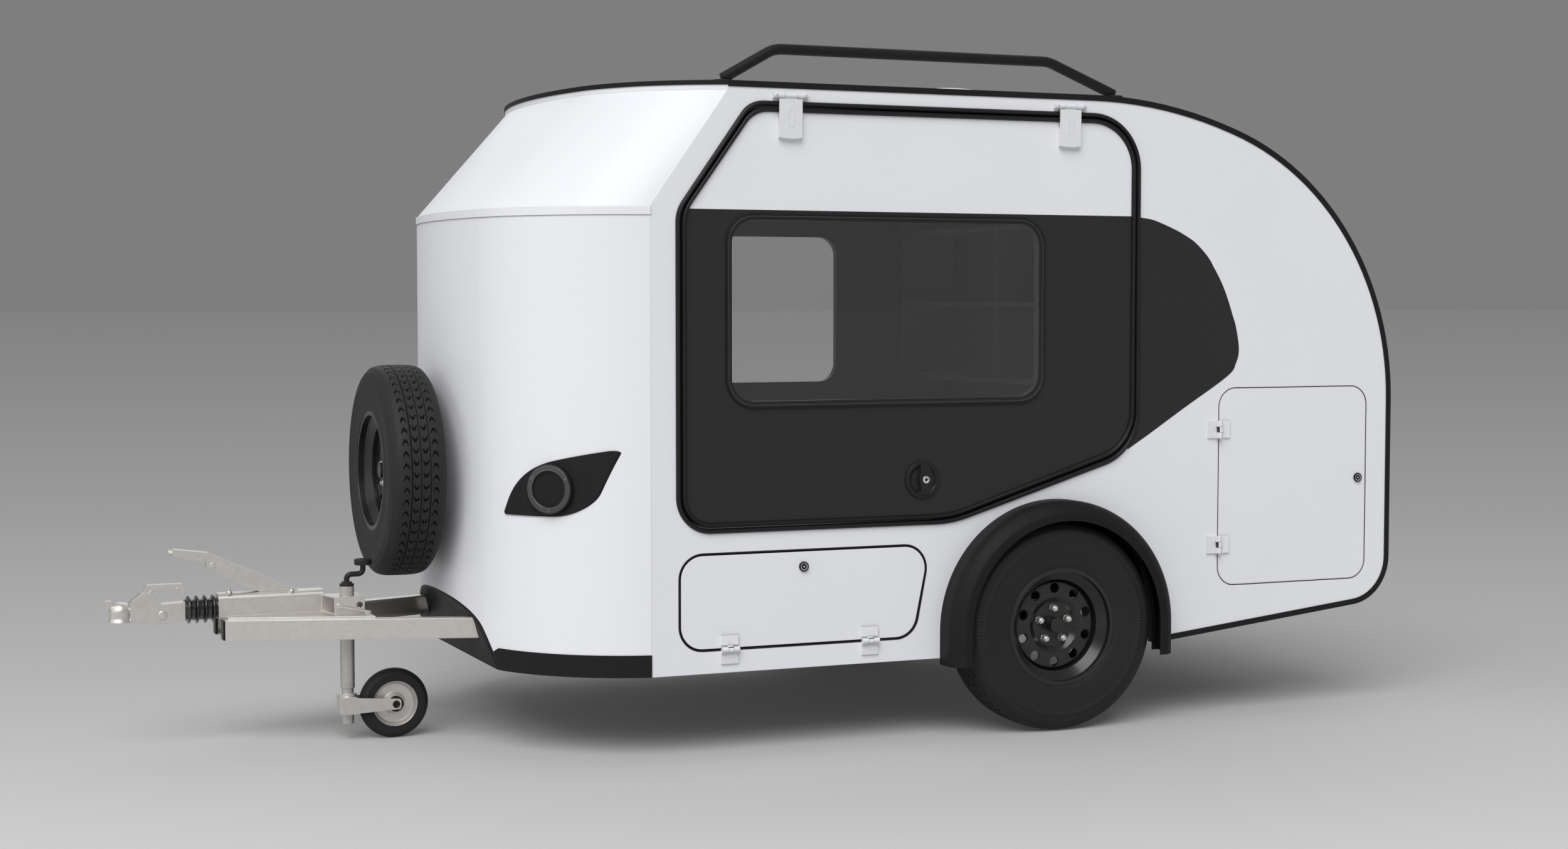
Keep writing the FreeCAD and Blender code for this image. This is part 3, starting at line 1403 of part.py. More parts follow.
def make_lamps():
    surface = nose_piece("surround_shell", nose_ring, s.lamp_height - s.lamp_radius * 3,
                         s.lamp_height + s.lamp_radius * 3,
                         -s.surround_proud, 0)
    leaf = new_body("surround_leaf")
    z, r = s.lamp_height, s.lamp_radius
    y = lamp_place(s.nose_corner_radius)[1]
    pad(leaf, "YZ_Plane", front, front + s.nose_reach + s.overrun,
        [(y + r * across, z + r * up, r * turn) for across, up, turn in leaf_shares])
    plate = shared("lamp_surround", surface, leaf)
    x0, y0 = lamp_place(s.nose_corner_radius + s.surround_proud)
    lamp = round_lamp("front_lamp", s.lamp_radius, s.lamp_proud)
    upright = FreeCAD.Rotation(Vector(0, 1, 0), 90)
    turn = FreeCAD.Rotation(Vector(0, 0, 1), number_of(s.lamp_angle))
    lamp.Placement = FreeCAD.Placement(Vector(), turn.multiply(upright))
    for letter, place in zip("xyz", (x0, y0, z)):
        bind(lamp, f".Placement.Base.{letter}", place)
    keep("lamp_surrounds", gathered("lamp_surrounds", [plate, mirrored(plate)]))
    keep("front_lamps", gathered("front_lamps", [lamp, mirrored(lamp)]))

    tail = round_lamp("tail_lamp", s.tail_lamp_radius, s.tail_lamp_depth)
    tail.Placement = FreeCAD.Placement(Vector(), FreeCAD.Rotation(Vector(0, 1, 0), -90))
    for letter, place in zip("xyz", (rear, s.tail_lamp_half, s.tail_lamp_height)):
        bind(tail, f".Placement.Base.{letter}", place)
    keep("tail_lamps", gathered("tail_lamps", [tail, mirrored(tail)]))
    keep("plate_holder", block("plate_holder", (rear - s.plate_thickness, rear),
                               (-s.plate_half_width, s.plate_half_width),
                               (s.plate_height - s.plate_half_height,
                                s.plate_height + s.plate_half_height)))


# Coupling, overrun housing and hand brake

# Corners of the coupling's body and handle, seen from the side: shares of the way from the ball to the
# neck's end, shares of the socket's outer radius above the ball, and shares of that radius for a round
head_shares = [(0.137, -0.81), (0.137, 0.83), (0.18, 1.14), (0.33, 1.75), (0.47, 1.75), (0.63, 0.67),
               (1.0, 0.78), (1.0, -0.89), (0.55, -1.14)]
handle_shares = [(0.31, 1.33), (0.4, 2.47, 0.4), (0.985, 2.47, 0.35), (1.04, 1.61), (0.95, 1.56),
                 (0.915, 1.9),
                 (0.485, 1.9), (0.436, 1.33)]
cup_shares = {"crown": 0.9, "low": 0.8, "flare_low": 0.45, "flare": 1.12, "beak_low": 0.44,
              "beak_high": 1.15}


def make_coupling():
    z, tip = s.shaft_height, front + s.coupling_reach
    ball_x = tip - s.ball_inset
    neck_end = front + s.bellows_front
    r, outer = s.ball_radius, s.ball_radius + s.socket_wall
    share = cup_shares
    cup = new_body("socket_cup")
    turned(cup, "XZ_Plane", 0, ball_x, z,
           [(0 * r, outer), (outer, outer, outer * share["crown"]), (outer, -outer * share["flare_low"]),
            (outer * share["flare"], -outer * share["low"]), (r, -outer * share["low"]),
            (r, r, r * share["crown"]),
            (0 * r, r)])

    def side_view(corners):
        length = ball_x - neck_end
        return [(ball_x - length * c[0],
                 z + outer * c[1]) + ((outer * c[2],) if len(c) > 2 else ()) for c in corners]

    neck = new_body("coupling_neck")
    pad(neck, "XZ_Plane", -s.neck_half, s.neck_half, side_view(head_shares))
    handle = new_body("coupling_handle")
    pad(handle, "XZ_Plane", -s.handle_half, s.handle_half, side_view(handle_shares))
    beak = block("coupling_beak", (ball_x + r + s.socket_wall / 4, tip), (-s.socket_wall, s.socket_wall),
                 (z + outer * share["beak_low"], z + outer * share["beak_high"]))
    shaft = rod("draw_shaft", "X", front + s.bellows_rear - s.beam_depth, neck_end + s.overrun, 0, z,
                s.shaft_radius)
    keep("coupling_head", fused("coupling_head", [cup, neck, handle, beak, shaft]))

    bellows = new_body("bellows")
    length = s.bellows_front - s.bellows_rear
    start = front + s.bellows_rear
    corners = [(start, s.shaft_radius + s.fit_gap), (start, s.bellows_valley)]
    pitch = length / s.bellows_ribs
    for n in range(sizes["bellows_ribs"]):
        low_x = start + pitch * n
        corners += [(low_x + pitch * 0.2, s.bellows_valley),
                    (low_x + pitch * 0.5, s.bellows_radius, pitch / 8),
                    (low_x + pitch * 0.8, s.bellows_valley)]
    corners += [(start + length - s.fit_gap, s.bellows_valley),
                (start + length - s.fit_gap, s.shaft_radius + s.fit_gap)]
    turned(bellows, "XZ_Plane", 0, 0, z, corners, axis="H_Axis")
    keep("bellows", bellows)

    housing = new_body("overrun_housing")
    back_x, front_x = front + s.housing_rear, front + s.bellows_rear - s.fit_gap
    pad(housing, "YZ_Plane", back_x, front_x,
        [(-s.housing_half, s.floor_height), (s.housing_half, s.floor_height),
         (s.housing_half, s.housing_top, s.housing_half / 2),
         (-s.housing_half, s.housing_top, s.housing_half / 2)])
    half = s.beam_width / 2
    plate_front, plate_rear = front + s.saddle_front, front + s.saddle_rear
    rear_half = s.drawbar_front_half + (s.drawbar_reach - s.saddle_rear) * drawbar_slope + half / 2
    front_half = s.drawbar_front_half + (s.drawbar_reach - s.saddle_front) * drawbar_slope
    pad(housing, "XY_Plane", s.floor_height, s.floor_height + s.saddle_thickness,
        [(plate_rear, -rear_half), (plate_front, -front_half), (plate_front, front_half),
         (plate_rear, rear_half)],
        (front + s.jockey_reach, s.jockey_side, s.sleeve_radius + s.fit_gap))
    cut(housing, "YZ_Plane", front_x - s.beam_depth - s.fit_gap, front_x,
        (0 * half, z, s.shaft_radius + s.fit_gap))
    keep("overrun_housing", housing)

    keep("handbrake_lever", hand_lever())


def hand_lever():
    """Folded channel that rises from the housing to a knee, with a level grip ahead of it."""
    arm = new_body("lever_arm")
    wall, half = s.lever_wall, s.lever_half
    foot, top, grip = s.housing_top + s.fit_gap, s.lever_knee_height, s.lever_grip_depth
    rear_x, low_x, knee_x = front + s.lever_rear, front + s.lever_front, front + s.lever_knee
    tip_x, tip_top = front + s.lever_tip, s.lever_tip_height
    pad(arm, "XZ_Plane", -half, half,
        [(rear_x, foot), (knee_x, top, wall), (tip_x, tip_top, wall), (tip_x + wall, tip_top - grip / 2),
         (tip_x - wall * 2, tip_top - grip, wall), (knee_x + wall, top - grip),
         (knee_x + wall, s.lever_chin, wall),
         (low_x, foot)])
    cut(arm, "XZ_Plane", wall - half, half - wall,
        [(rear_x + wall * 3, foot - wall), (knee_x - wall, top - wall * 1.5),
         (knee_x - wall, s.lever_chin - wall * 4),
         (low_x, foot - wall)])
    bolt = rod("lever_bolt", "Y", -half - wall, half + wall, knee_x - grip / 2, s.lever_chin + wall * 2,
               s.lever_bolt_radius)
    plug = rod("lever_plug", "X", tip_x, tip_x + s.lever_plug, 0, tip_top - grip / 2 + wall / 2, grip / 3)
    return fused("handbrake_lever", [arm, bolt, plug])


# Jockey wheel

def jockey_bracket(x, y):
    """Box bracket on the housing's side that the sleeve passes through, with the toggle that clamps it."""
    body = new_body("jockey_box")
    low, wall = s.floor_height + s.saddle_thickness, s.clamp_wall
    inner, outer = s.housing_half, s.clamp_side
    rear_x, front_x = front + s.clamp_rear, front + s.clamp_front
    pad(body, "XY_Plane", low, s.clamp_high,
        [(rear_x, inner), (front_x, inner), (front_x - s.clamp_taper, outer), (rear_x, outer)])
    cut(body, "YZ_Plane", rear_x - s.overrun, front_x + s.overrun,
        [(inner + wall, low + wall, wall / 2), (outer - wall, low + wall, wall / 2),
         (outer - wall, s.clamp_high - wall, wall / 2), (inner + wall, s.clamp_high - wall, wall / 2)])
    cut(body, "XY_Plane", low - s.overrun, s.clamp_high + s.overrun,
        (x, y, s.sleeve_radius + s.bearing_play))
    level = (low + s.clamp_high) / 2
    cut(body, "XZ_Plane", outer - wall * 2, outer + s.overrun,
        (rear_x + s.clamp_hole_inset, level, s.clamp_hole_radius))
    boss_x = front_x - s.clamp_taper - s.toggle_inset
    boss_end = outer + s.toggle_boss_depth
    boss = rod("toggle_boss", "Y", outer - wall / 2, boss_end, boss_x, level, s.toggle_boss_radius)
    bar = doc.addObject("Part::Cylinder", "toggle_bar")
    lean = FreeCAD.Rotation(Vector(0, 1, 0), -90 - number_of(s.toggle_angle))
    bar.Placement = FreeCAD.Placement(Vector(), lean)
    for letter, place in zip("xyz", (boss_x, boss_end - s.toggle_boss_depth / 2, level)):
        bind(bar, f".Placement.Base.{letter}", place)
    bind(bar, "Radius", s.toggle_radius)
    bind(bar, "Height", s.toggle_length)
    return fused("jockey_clamp", [body, boss, bar])


def jockey_crank(x, y):
    """Stepped cap on the sleeve, a round rod bent twice and a flat knob."""
    cap = new_body("crank_cap")
    r, top = s.sleeve_radius, s.sleeve_top
    neck = r - s.crank_cap_step / 2
    turned(cap, "XZ_Plane", y, x, top,
           [(0 * r, 0 * r), (r, 0 * r), (r, s.crank_cap_step, s.fit_gap * 4),
            (neck - s.crank_cap_step / 4, s.crank_cap_step),
            (neck - s.crank_cap_step / 4, s.crank_cap_height), (0 * r, s.crank_cap_height)])
    handle = new_body("crank_rod")
    path = sketch_on(handle, "XZ_Plane", y)
    level, grip_x = top + s.crank_level, x - s.crank_throw
    draw_outline(path, [(x, top + s.crank_cap_step), (x, level, s.crank_bend_radius),
                        (grip_x, level, s.crank_bend_radius), (grip_x, level + s.crank_grip)], closed=False)
    section = sketch_on(handle, "XY_Plane", top + s.crank_cap_step)
    draw_circle(section, x, y, s.crank_radius)
    pipe = handle.newObject("PartDesign::AdditivePipe", "crank_pipe")
    pipe.Profile = section
    pipe.Spine = path
    knob = new_body("crank_knob")
    edge = s.knob_height / 6
    turned(knob, "XZ_Plane", y, grip_x, level + s.crank_grip - s.fit_gap,
           [(0 * r, 0 * r), (s.knob_radius, 0 * r, edge), (s.knob_radius, s.knob_height, edge),
            (0 * r, s.knob_height)])
    return fused("jockey_crank", [cap, handle, knob])


def make_jockey():
    x, y = front + s.jockey_reach, s.jockey_side
    tube = less("jockey_sleeve", rod("sleeve_outer", "Z", s.sleeve_bottom, s.sleeve_top, x, y,
                                     s.sleeve_radius),
                rod("sleeve_inner", "Z", s.sleeve_bottom, s.sleeve_top, x, y, s.sleeve_bore))
    keep("jockey_sleeve", tube)

    keep("jockey_clamp", jockey_bracket(x, y))
    keep("jockey_crank", jockey_crank(x, y))

    leg = rod("jockey_leg", "Z", s.leg_bottom, s.sleeve_top - s.handle_half, x, y, s.leg_radius)
    keep("jockey_leg", leg)

    wheel_x0 = x - s.fork_trail
    fork = new_body("jockey_fork")
    hub_r = s.fork_hub_radius
    pad(fork, "XY_Plane", s.fork_low, s.fork_high, (x, y, hub_r), (x, y, s.leg_radius + s.bearing_play))
    out = s.fork_half
    for sign in (1, -1):
        lo, hi = (y + out, y + out + s.fork_plate) if sign > 0 else (y - out - s.fork_plate, y - out)
        mid = s.jockey_radius
        pad(fork, "XZ_Plane", lo, hi,
            [(x + hub_r, s.fork_low), (x + hub_r, s.fork_high - s.fork_plate * 2),
             (wheel_x0 - hub_r * 0.6, mid + hub_r * 0.6, hub_r / 3),
             (wheel_x0 - hub_r * 0.6, mid - hub_r * 0.6, hub_r / 3)])
        near = (y + s.leg_radius + s.fork_plate) if sign > 0 else lo
        far = hi if sign > 0 else (y - s.leg_radius - s.fork_plate)
        pad(fork, "XZ_Plane", near, far,
            [(x + hub_r * 0.7, s.fork_low), (x + hub_r * 0.7, s.fork_high - s.fork_plate * 2),
             (x - hub_r * 0.7, s.fork_high - s.fork_plate * 2), (x - hub_r * 0.7, s.fork_low)])
    pad(fork, "XZ_Plane", y - out - s.fork_plate, y + out + s.fork_plate,
        (wheel_x0, s.jockey_radius, s.jockey_axle_radius))
    keep("jockey_fork", fork)

    wheel = new_body("jockey_tyre")
    w, r = s.jockey_width / 2, s.jockey_radius
    turned(wheel, "XY_Plane", r, wheel_x0, y,
           [(s.jockey_rim_radius, -w), (r - w / 2, -w, w / 3), (r, -w / 3, w / 3), (r, w / 3, w / 3),
            (r - w / 2, w, w / 3), (s.jockey_rim_radius, w)])
    keep("jockey_tyre", wheel)
    hub = new_body("jockey_rim")
    turned(hub, "XY_Plane", r, wheel_x0, y,
           [(s.jockey_axle_radius + s.bearing_play, -w), (s.jockey_rim_radius / 3, -w),
            (s.jockey_rim_radius / 2, -w / 3), (s.jockey_rim_radius * 0.85, -w / 3),
            (s.jockey_rim_radius, -w),
            (s.jockey_rim_radius, w), (s.jockey_rim_radius * 0.85, w / 3), (s.jockey_rim_radius / 2, w / 3),
            (s.jockey_rim_radius / 3, w), (s.jockey_axle_radius + s.bearing_play, w)])
    keep("jockey_rim", hub)


roof_skin = make_shell()
make_skirt()
make_frame()
make_axle()
make_wheels()
make_fender()
make_openings()
make_cabin()
make_roof_fittings(roof_skin)
make_lamps()
make_coupling()
make_jockey()
doc.recompute()

for item in doc.Objects:
    if "Invalid" in item.State or "Error" in item.State:
        raise RuntimeError(f"{item.Label} failed: {item.State}")
os.makedirs("parts", exist_ok=True)
for item in sub_parts:
    if item.Shape.isNull() or not item.Shape.isValid() or not item.Shape.Solids:
        raise RuntimeError(f"{item.Label} has no valid solid")
    item.Shape.exportStep(f"parts/{item.Label}.step")
    box = item.Shape.BoundBox
    print(f"{item.Label:20s} {len(item.Shape.Solids):3d} solids, {len(item.Shape.Faces):4d} faces,"
          f" X {box.XMin:8.1f} {box.XMax:8.1f}  Y {box.YMin:7.1f} {box.YMax:7.1f}"
          f"  Z {box.ZMin:7.1f} {box.ZMax:7.1f}")
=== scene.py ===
import json
import math

import bmesh
import bpy
import numpy as np
from mathutils import Matrix, Vector
from mathutils.bvhtree import BVHTree

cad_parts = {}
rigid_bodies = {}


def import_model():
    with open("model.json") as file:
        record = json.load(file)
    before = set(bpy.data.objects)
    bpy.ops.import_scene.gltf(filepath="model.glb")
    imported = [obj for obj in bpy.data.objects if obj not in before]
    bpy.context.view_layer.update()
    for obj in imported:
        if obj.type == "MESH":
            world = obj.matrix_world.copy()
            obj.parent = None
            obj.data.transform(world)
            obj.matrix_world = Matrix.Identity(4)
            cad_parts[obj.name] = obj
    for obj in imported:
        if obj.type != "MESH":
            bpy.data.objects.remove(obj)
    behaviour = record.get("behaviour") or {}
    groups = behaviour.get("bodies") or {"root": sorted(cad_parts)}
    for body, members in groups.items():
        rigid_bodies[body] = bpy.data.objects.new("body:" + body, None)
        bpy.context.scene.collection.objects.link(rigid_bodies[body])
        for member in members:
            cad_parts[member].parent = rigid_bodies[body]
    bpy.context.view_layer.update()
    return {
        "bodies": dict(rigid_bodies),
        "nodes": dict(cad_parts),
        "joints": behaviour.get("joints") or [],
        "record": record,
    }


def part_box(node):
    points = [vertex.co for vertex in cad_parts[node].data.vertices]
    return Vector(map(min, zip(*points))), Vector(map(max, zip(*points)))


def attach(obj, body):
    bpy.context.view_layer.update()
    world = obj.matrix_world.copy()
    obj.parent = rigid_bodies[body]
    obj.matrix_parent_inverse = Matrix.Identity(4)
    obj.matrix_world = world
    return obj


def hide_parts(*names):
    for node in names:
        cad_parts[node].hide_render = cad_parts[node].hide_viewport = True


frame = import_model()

# Small white teardrop trailer in a grey studio. Metres, +X to the coupling, +Y to the trailer's left.

scene = bpy.context.scene
nodes = frame["nodes"]
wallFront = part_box("side_wall_left")[1].x
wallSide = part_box("side_wall_left")[1].y
sides = (("left", 1), ("right", -1))
upward = np.array((0.0, 0.0, 1.0))
print("frame loaded:", len(nodes), "nodes")


# camera, solved from the picture: place, turn from -Y towards -X and tilt down in degrees
camera = {
    "place": (3.11743, 7.70354, 1.46156), "turn": 23.104, "tilt": 3.009, "lens": 52.56, "sensor": 36.0,
    "reach": 900.0}


def makeCamera(c):
    turn, tilt = math.radians(c["turn"]), math.radians(c["tilt"])
    ahead = Vector((-math.sin(turn) * math.cos(tilt), -math.cos(turn) * math.cos(tilt), -math.sin(tilt)))
    right = Vector((-math.cos(turn), math.sin(turn), 0))
    up = right.cross(ahead)
    data = bpy.data.cameras.new("photoCamera")
    data.lens, data.sensor_width, data.sensor_fit = c["lens"], c["sensor"], "HORIZONTAL"
    data.clip_end = c["reach"]
    obj = bpy.data.objects.new("photoCamera", data)
    scene.collection.objects.link(obj)
    rotation = Matrix((right, up, -ahead)).transposed()
    obj.matrix_world = Matrix.Translation(c["place"]) @ rotation.to_4x4()
    scene.camera = obj


makeCamera(camera)
scene.view_settings.view_transform = "Standard"
print("camera set")


# mesh helpers; a shape is its points and a list of face blocks, each an array with one face a row
materials = {}


def addPiece(name, shape, finish, body, smooth=40):
    # a closed mesh that rides on a body; edges under smooth degrees are shaded round, and 0 keeps them flat
    points, blocks = shape
    mesh = bpy.data.meshes.new(name)
    mesh.from_pydata(points.tolist(), [], [face for block in blocks for face in block.tolist()])
    obj = bpy.data.objects.new(name, mesh)
    scene.collection.objects.link(obj)
    b = bmesh.new()
    b.from_mesh(mesh)
    bmesh.ops.remove_doubles(b, verts=b.verts, dist=1e-6)
    bmesh.ops.recalc_face_normals(b, faces=b.faces)
    b.to_mesh(mesh)
    b.free()
    if smooth:
        mesh.shade_smooth()
        mesh.set_sharp_from_angle(angle=math.radians(smooth))
    mesh.materials.append(materials[finish])
    mesh.update()
    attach(obj, body)
    return obj


def gridFaces(rows, cols, wrapRows=False, wrapCols=False):
    # quads between neighbours of a rows x cols grid, going round where it wraps
    i, j = np.meshgrid(np.arange(rows if wrapRows else rows - 1), np.arange(cols if wrapCols else cols - 1),
                       indexing="ij")
    ni, nj = (i + 1) % rows, (j + 1) % cols
    return np.stack([i * cols + j, ni * cols + j, ni * cols + nj, i * cols + nj], axis=-1).reshape(-1, 4)


def unit(vectors):
    return vectors / np.linalg.norm(vectors, axis=-1, keepdims=True)


def roundedPath(corners, steps=10):
    # closed outline through (x, y, radius) corners, each corner swapped for points on its tangent arc:
    # the arc's middle lies radius / sin(half angle) along the corner's bisector
    corners = np.asarray(corners, float)
    here, radius = corners[:, :2], corners[:, 2:]
    back, ahead = unit(np.roll(here, 1, 0) - here), unit(np.roll(here, -1, 0) - here)
    half = np.arccos(np.clip((back * ahead).sum(1, keepdims=True), -1, 1)) / 2
    centre = here + unit(back + ahead) * radius / np.sin(half)
    first = here + back * radius / np.tan(half) - centre
    last = here + ahead * radius / np.tan(half) - centre
    start = np.arctan2(first[:, 1], first[:, 0])
    sweep = np.arctan2(first[:, 0] * last[:, 1] - first[:, 1] * last[:, 0], (first * last).sum(1))
    t = start[:, None] + sweep[:, None] * np.linspace(0, 1, steps)
    return (centre[:, None] + radius[:, None] * np.stack([np.cos(t), np.sin(t)], axis=-1)).reshape(-1, 2)


def turnedShape(profile, centre, axis, count=64, ring=False, capped=False):
    # profile of (radius, along) carried round an axis: centre + along * axis + radius * (cos t * u + sin t * v);
    # a ring's profile closes on itself, and a capped one gets a face at each end
    profile, n = np.asarray(profile, float), len(profile)
    axis = np.array(Vector(axis).normalized())
    u = np.array(Vector(axis).orthogonal().normalized())
    v = np.cross(axis, u)
    t = np.linspace(0, 2 * np.pi, count, endpoint=False)
    spoke = np.cos(t)[:, None] * u + np.sin(t)[:, None] * v
    points = np.array(centre) + profile[None, :, 1, None] * axis + profile[None, :, 0, None] * spoke[:, None, :]
    blocks = [gridFaces(count, n, wrapRows=True, wrapCols=ring)]
    if capped:
        foot = np.arange(count)[None] * n
        blocks += [foot[:, ::-1] + n - 1, foot]
    return points.reshape(-1, 3), blocks


def carriedShape(path, profile, up, closed=True):
    # profile of (aside, out) carried along a path: point + aside * side + out * up, where side = up x direction
    path, profile, n = np.asarray(path, float), np.asarray(profile, float), len(profile)
    ahead = unit(np.roll(path, -1, 0) - np.roll(path, 1, 0) if closed else np.gradient(path, axis=0))
    up = np.array(up, float)
    side = unit(np.cross(np.broadcast_to(up, ahead.shape), ahead))
    points = path[:, None, :] + profile[None, :, 0, None] * side[:, None, :] + profile[None, :, 1, None] * up
    blocks = [gridFaces(len(path), n, wrapRows=closed, wrapCols=True)]
    if not closed:
        end = np.arange(n)[None]
        blocks += [end, end[:, ::-1] + (len(path) - 1) * n]
    return points.reshape(-1, 3), blocks


def plateShape(outline, low, high, axis="y", edge=0.0):
    # flat outline between two levels of an axis, its front edge taken in by a small 45 degree step
    outline = np.asarray(outline, float)
    n = len(outline)
    inward = unit(outline.mean(0) - outline)
    step = edge if high > low else -edge
    rings = ((outline, low), (outline, high - step), (outline + inward * edge, high))
    points = np.concatenate([np.insert(ring, "xyz".index(axis), level, axis=1) for ring, level in rings])
    loop = np.arange(n)[None]
    return points, [gridFaces(3, n, wrapCols=True), loop, loop[:, ::-1] + 2 * n]


def gather(shapes):
    # several shapes as one
    starts = np.cumsum([0] + [len(points) for points, _ in shapes])
    blocks = [block + start for start, (_, faces) in zip(starts, shapes) for block in faces]
    return np.concatenate([points for points, _ in shapes]), blocks


def meshArrays(node):
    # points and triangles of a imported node
    mesh = nodes[node].data
    points, corners = np.empty(len(mesh.vertices) * 3, np.float32), np.empty(len(mesh.loops), np.int32)
    mesh.vertices.foreach_get("co", points)
    mesh.loops.foreach_get("vertex_index", corners)
    return points.reshape(-1, 3).astype(float), corners.reshape(-1, 3)


def surfaceAt(node, start, towards):
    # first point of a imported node's mesh on a line
    points, triangles = meshArrays(node)
    tree = BVHTree.FromPolygons(points.tolist(), triangles.tolist())
    found = tree.ray_cast(Vector(start), Vector(towards))[0]
    return np.array(found if found is not None else start)


def middle(node):
    low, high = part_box(node)
    return tuple((low + high) / 2)


# shader helpers

def setSockets(tree, node, sockets):
    # each socket is set to a value or linked to another node's output
    for key, value in sockets.items():
        if isinstance(value, bpy.types.NodeSocket):
            tree.links.new(value, node.inputs[key])
        else:
            node.inputs[key].default_value = value


def newNode(tree, kind, sockets=None):
    node = tree.nodes.new("ShaderNode" + kind)
    setSockets(tree, node, sockets or {})
    return node


def mathNode(tree, operation, *values):
    node = newNode(tree, "Math")
    node.operation = operation
    setSockets(tree, node, dict(enumerate(values)))
    return node.outputs[0]


def dotNode(tree, first, second):
    node = newNode(tree, "VectorMath")
    node.operation = "DOT_PRODUCT"
    setSockets(tree, node, {0: first, 1: second})
    return node.outputs["Value"]


def newGroup(name, inputs, outputs):
    # an empty group: labels and values of its inputs, labels of its outputs; triples and Normal are vectors
    group = bpy.data.node_groups.new(name, "ShaderNodeTree")
    for label, value in inputs.items():
        kind = "NodeSocketVector" if isinstance(value, tuple) else "NodeSocketFloat"
        group.interface.new_socket(label, in_out="INPUT", socket_type=kind).default_value = value
    for label in outputs:
        kind = "NodeSocketVector" if label == "Normal" else "NodeSocketFloat"
        group.interface.new_socket(label, in_out="OUTPUT", socket_type=kind)
    start, end = group.nodes.new("NodeGroupInput"), group.nodes.new("NodeGroupOutput")
    return group, start.outputs, end


def makePatches():
    # broad soft patches and fine specks from two noises, 0 to 1
    group, start, end = newGroup("softPatches", {"Patch Scale": 3.0, "Speck Scale": 90.0, "Speck Share": 0.3},
                                 ["Mask"])
    place = newNode(group, "TexCoord").outputs["Object"]
    broad = newNode(group, "TexNoise", {"Vector": place, "Scale": start["Patch Scale"], "Detail": 3.0})
    fine = newNode(group, "TexNoise", {"Vector": place, "Scale": start["Speck Scale"], "Detail": 2.0})
    mix = newNode(group, "Mix", {"Factor": start["Speck Share"], "A": broad.outputs["Fac"],
                                 "B": fine.outputs["Fac"]})
    spread = newNode(group, "MapRange", {"Value": mix.outputs["Result"], "From Min": 0.3, "From Max": 0.7})
    setSockets(group, end, {"Mask": spread.outputs["Result"]})
    return group


def makeGrain():
    # height of a fine moulded or sprayed grain
    group, start, end = newGroup("fineGrain", {"Scale": 400.0, "Roughness": 0.5}, ["Height"])
    noise = newNode(group, "TexNoise", {"Vector": newNode(group, "TexCoord").outputs["Object"], "Detail": 3.0,
                                        "Scale": start["Scale"], "Roughness": start["Roughness"]})
    setSockets(group, end, {"Height": noise.outputs["Fac"]})
    return group


def makeEdges():
    # mask of sharp edges: how far the rounded normal leans from the true one
    group, start, end = newGroup("edgeMask", {"Radius": 0.003, "Gain": 6.0}, ["Mask", "Normal"])
    bevel = newNode(group, "Bevel", {"Radius": start["Radius"]})
    bevel.samples = 4
    rounded = bevel.outputs["Normal"]
    likeness = dotNode(group, rounded, newNode(group, "NewGeometry").outputs["Normal"])
    lean = mathNode(group, "MULTIPLY", mathNode(group, "SUBTRACT", 1.0, likeness), start["Gain"])
    setSockets(group, end, {"Mask": mathNode(group, "MINIMUM", lean, 1.0), "Normal": rounded})
    return group


def makeCabinShade():
    # 1 on faces that look back at the middle of the cabin, 0 on the outer skin: place . normal < middle . normal;
    # this marks where the inside of the cabin gets painted shade
    group, start, end = newGroup("cabinSide", {"Middle": (-0.4, 0.0, 1.2)}, ["Mask"])
    coords = newNode(group, "TexCoord").outputs
    mask = mathNode(group, "LESS_THAN", dotNode(group, coords["Object"], coords["Normal"]),
                    dotNode(group, start["Middle"], coords["Normal"]))
    setSockets(group, end, {"Mask": mask})
    return group


def makeBand():
    # 1 below a level of Z, with a crisp edge
    group, start, end = newGroup("belowLevel", {"Level": 1.766}, ["Mask"])
    place = newNode(group, "SeparateXYZ", {0: newNode(group, "TexCoord").outputs["Object"]}).outputs
    setSockets(group, end, {"Mask": mathNode(group, "LESS_THAN", place["Z"], start["Level"])})
    return group


def makeSpangle():
    # flat crystal patches of hot zinc: a cell's own grey, softened by a broad noise
    group, start, end = newGroup("zincSpangle", {"Scale": 60.0}, ["Value", "Height"])
    place = newNode(group, "TexCoord").outputs["Object"]
    cells = newNode(group, "TexVoronoi", {"Vector": place, "Scale": start["Scale"]}).outputs
    noise = newNode(group, "TexNoise", {"Vector": place, "Scale": 14.0, "Detail": 4.0})
    grey = newNode(group, "SeparateColor", {0: cells["Color"]})
    mix = newNode(group, "Mix", {"Factor": 0.6, "A": grey.outputs["Red"], "B": noise.outputs["Fac"]})
    setSockets(group, end, {"Value": mix.outputs["Result"], "Height": cells["Distance"]})
    return group


groups = {"patches": makePatches(), "grain": makeGrain(), "edges": makeEdges(), "inside": makeCabinShade(),
          "band": makeBand(), "spangle": makeSpangle()}
print("shader groups made")


def useGroup(tree, key, values=None):
    node = tree.nodes.new("ShaderNodeGroup")
    node.node_tree = groups[key]
    setSockets(tree, node, values or {})
    return node.outputs


def mixColour(tree, mask, first, second):
    mix = newNode(tree, "Mix")
    mix.data_type = "RGBA"
    first, second = (c + (1.0,) if isinstance(c, tuple) else c for c in (first, second))
    setSockets(tree, mix, {"Factor": mask, "A": first, "B": second})
    return mix.outputs["Result"]


def mapValue(tree, value, low, high):
    return newNode(tree, "MapRange", {"Value": value, "To Min": low, "To Max": high}).outputs["Result"]


def mixShaders(tree, share, first, second, end):
    mix = newNode(tree, "MixShader", {0: share, 1: first.outputs[0], 2: second.outputs[0]})
    setSockets(tree, end, {"Surface": mix.outputs[0]})


def newMaterial(name):
    material = bpy.data.materials.new(name)
    material.use_nodes = True
    materials[name] = material
    return material.node_tree, material.node_tree.nodes["Principled BSDF"]


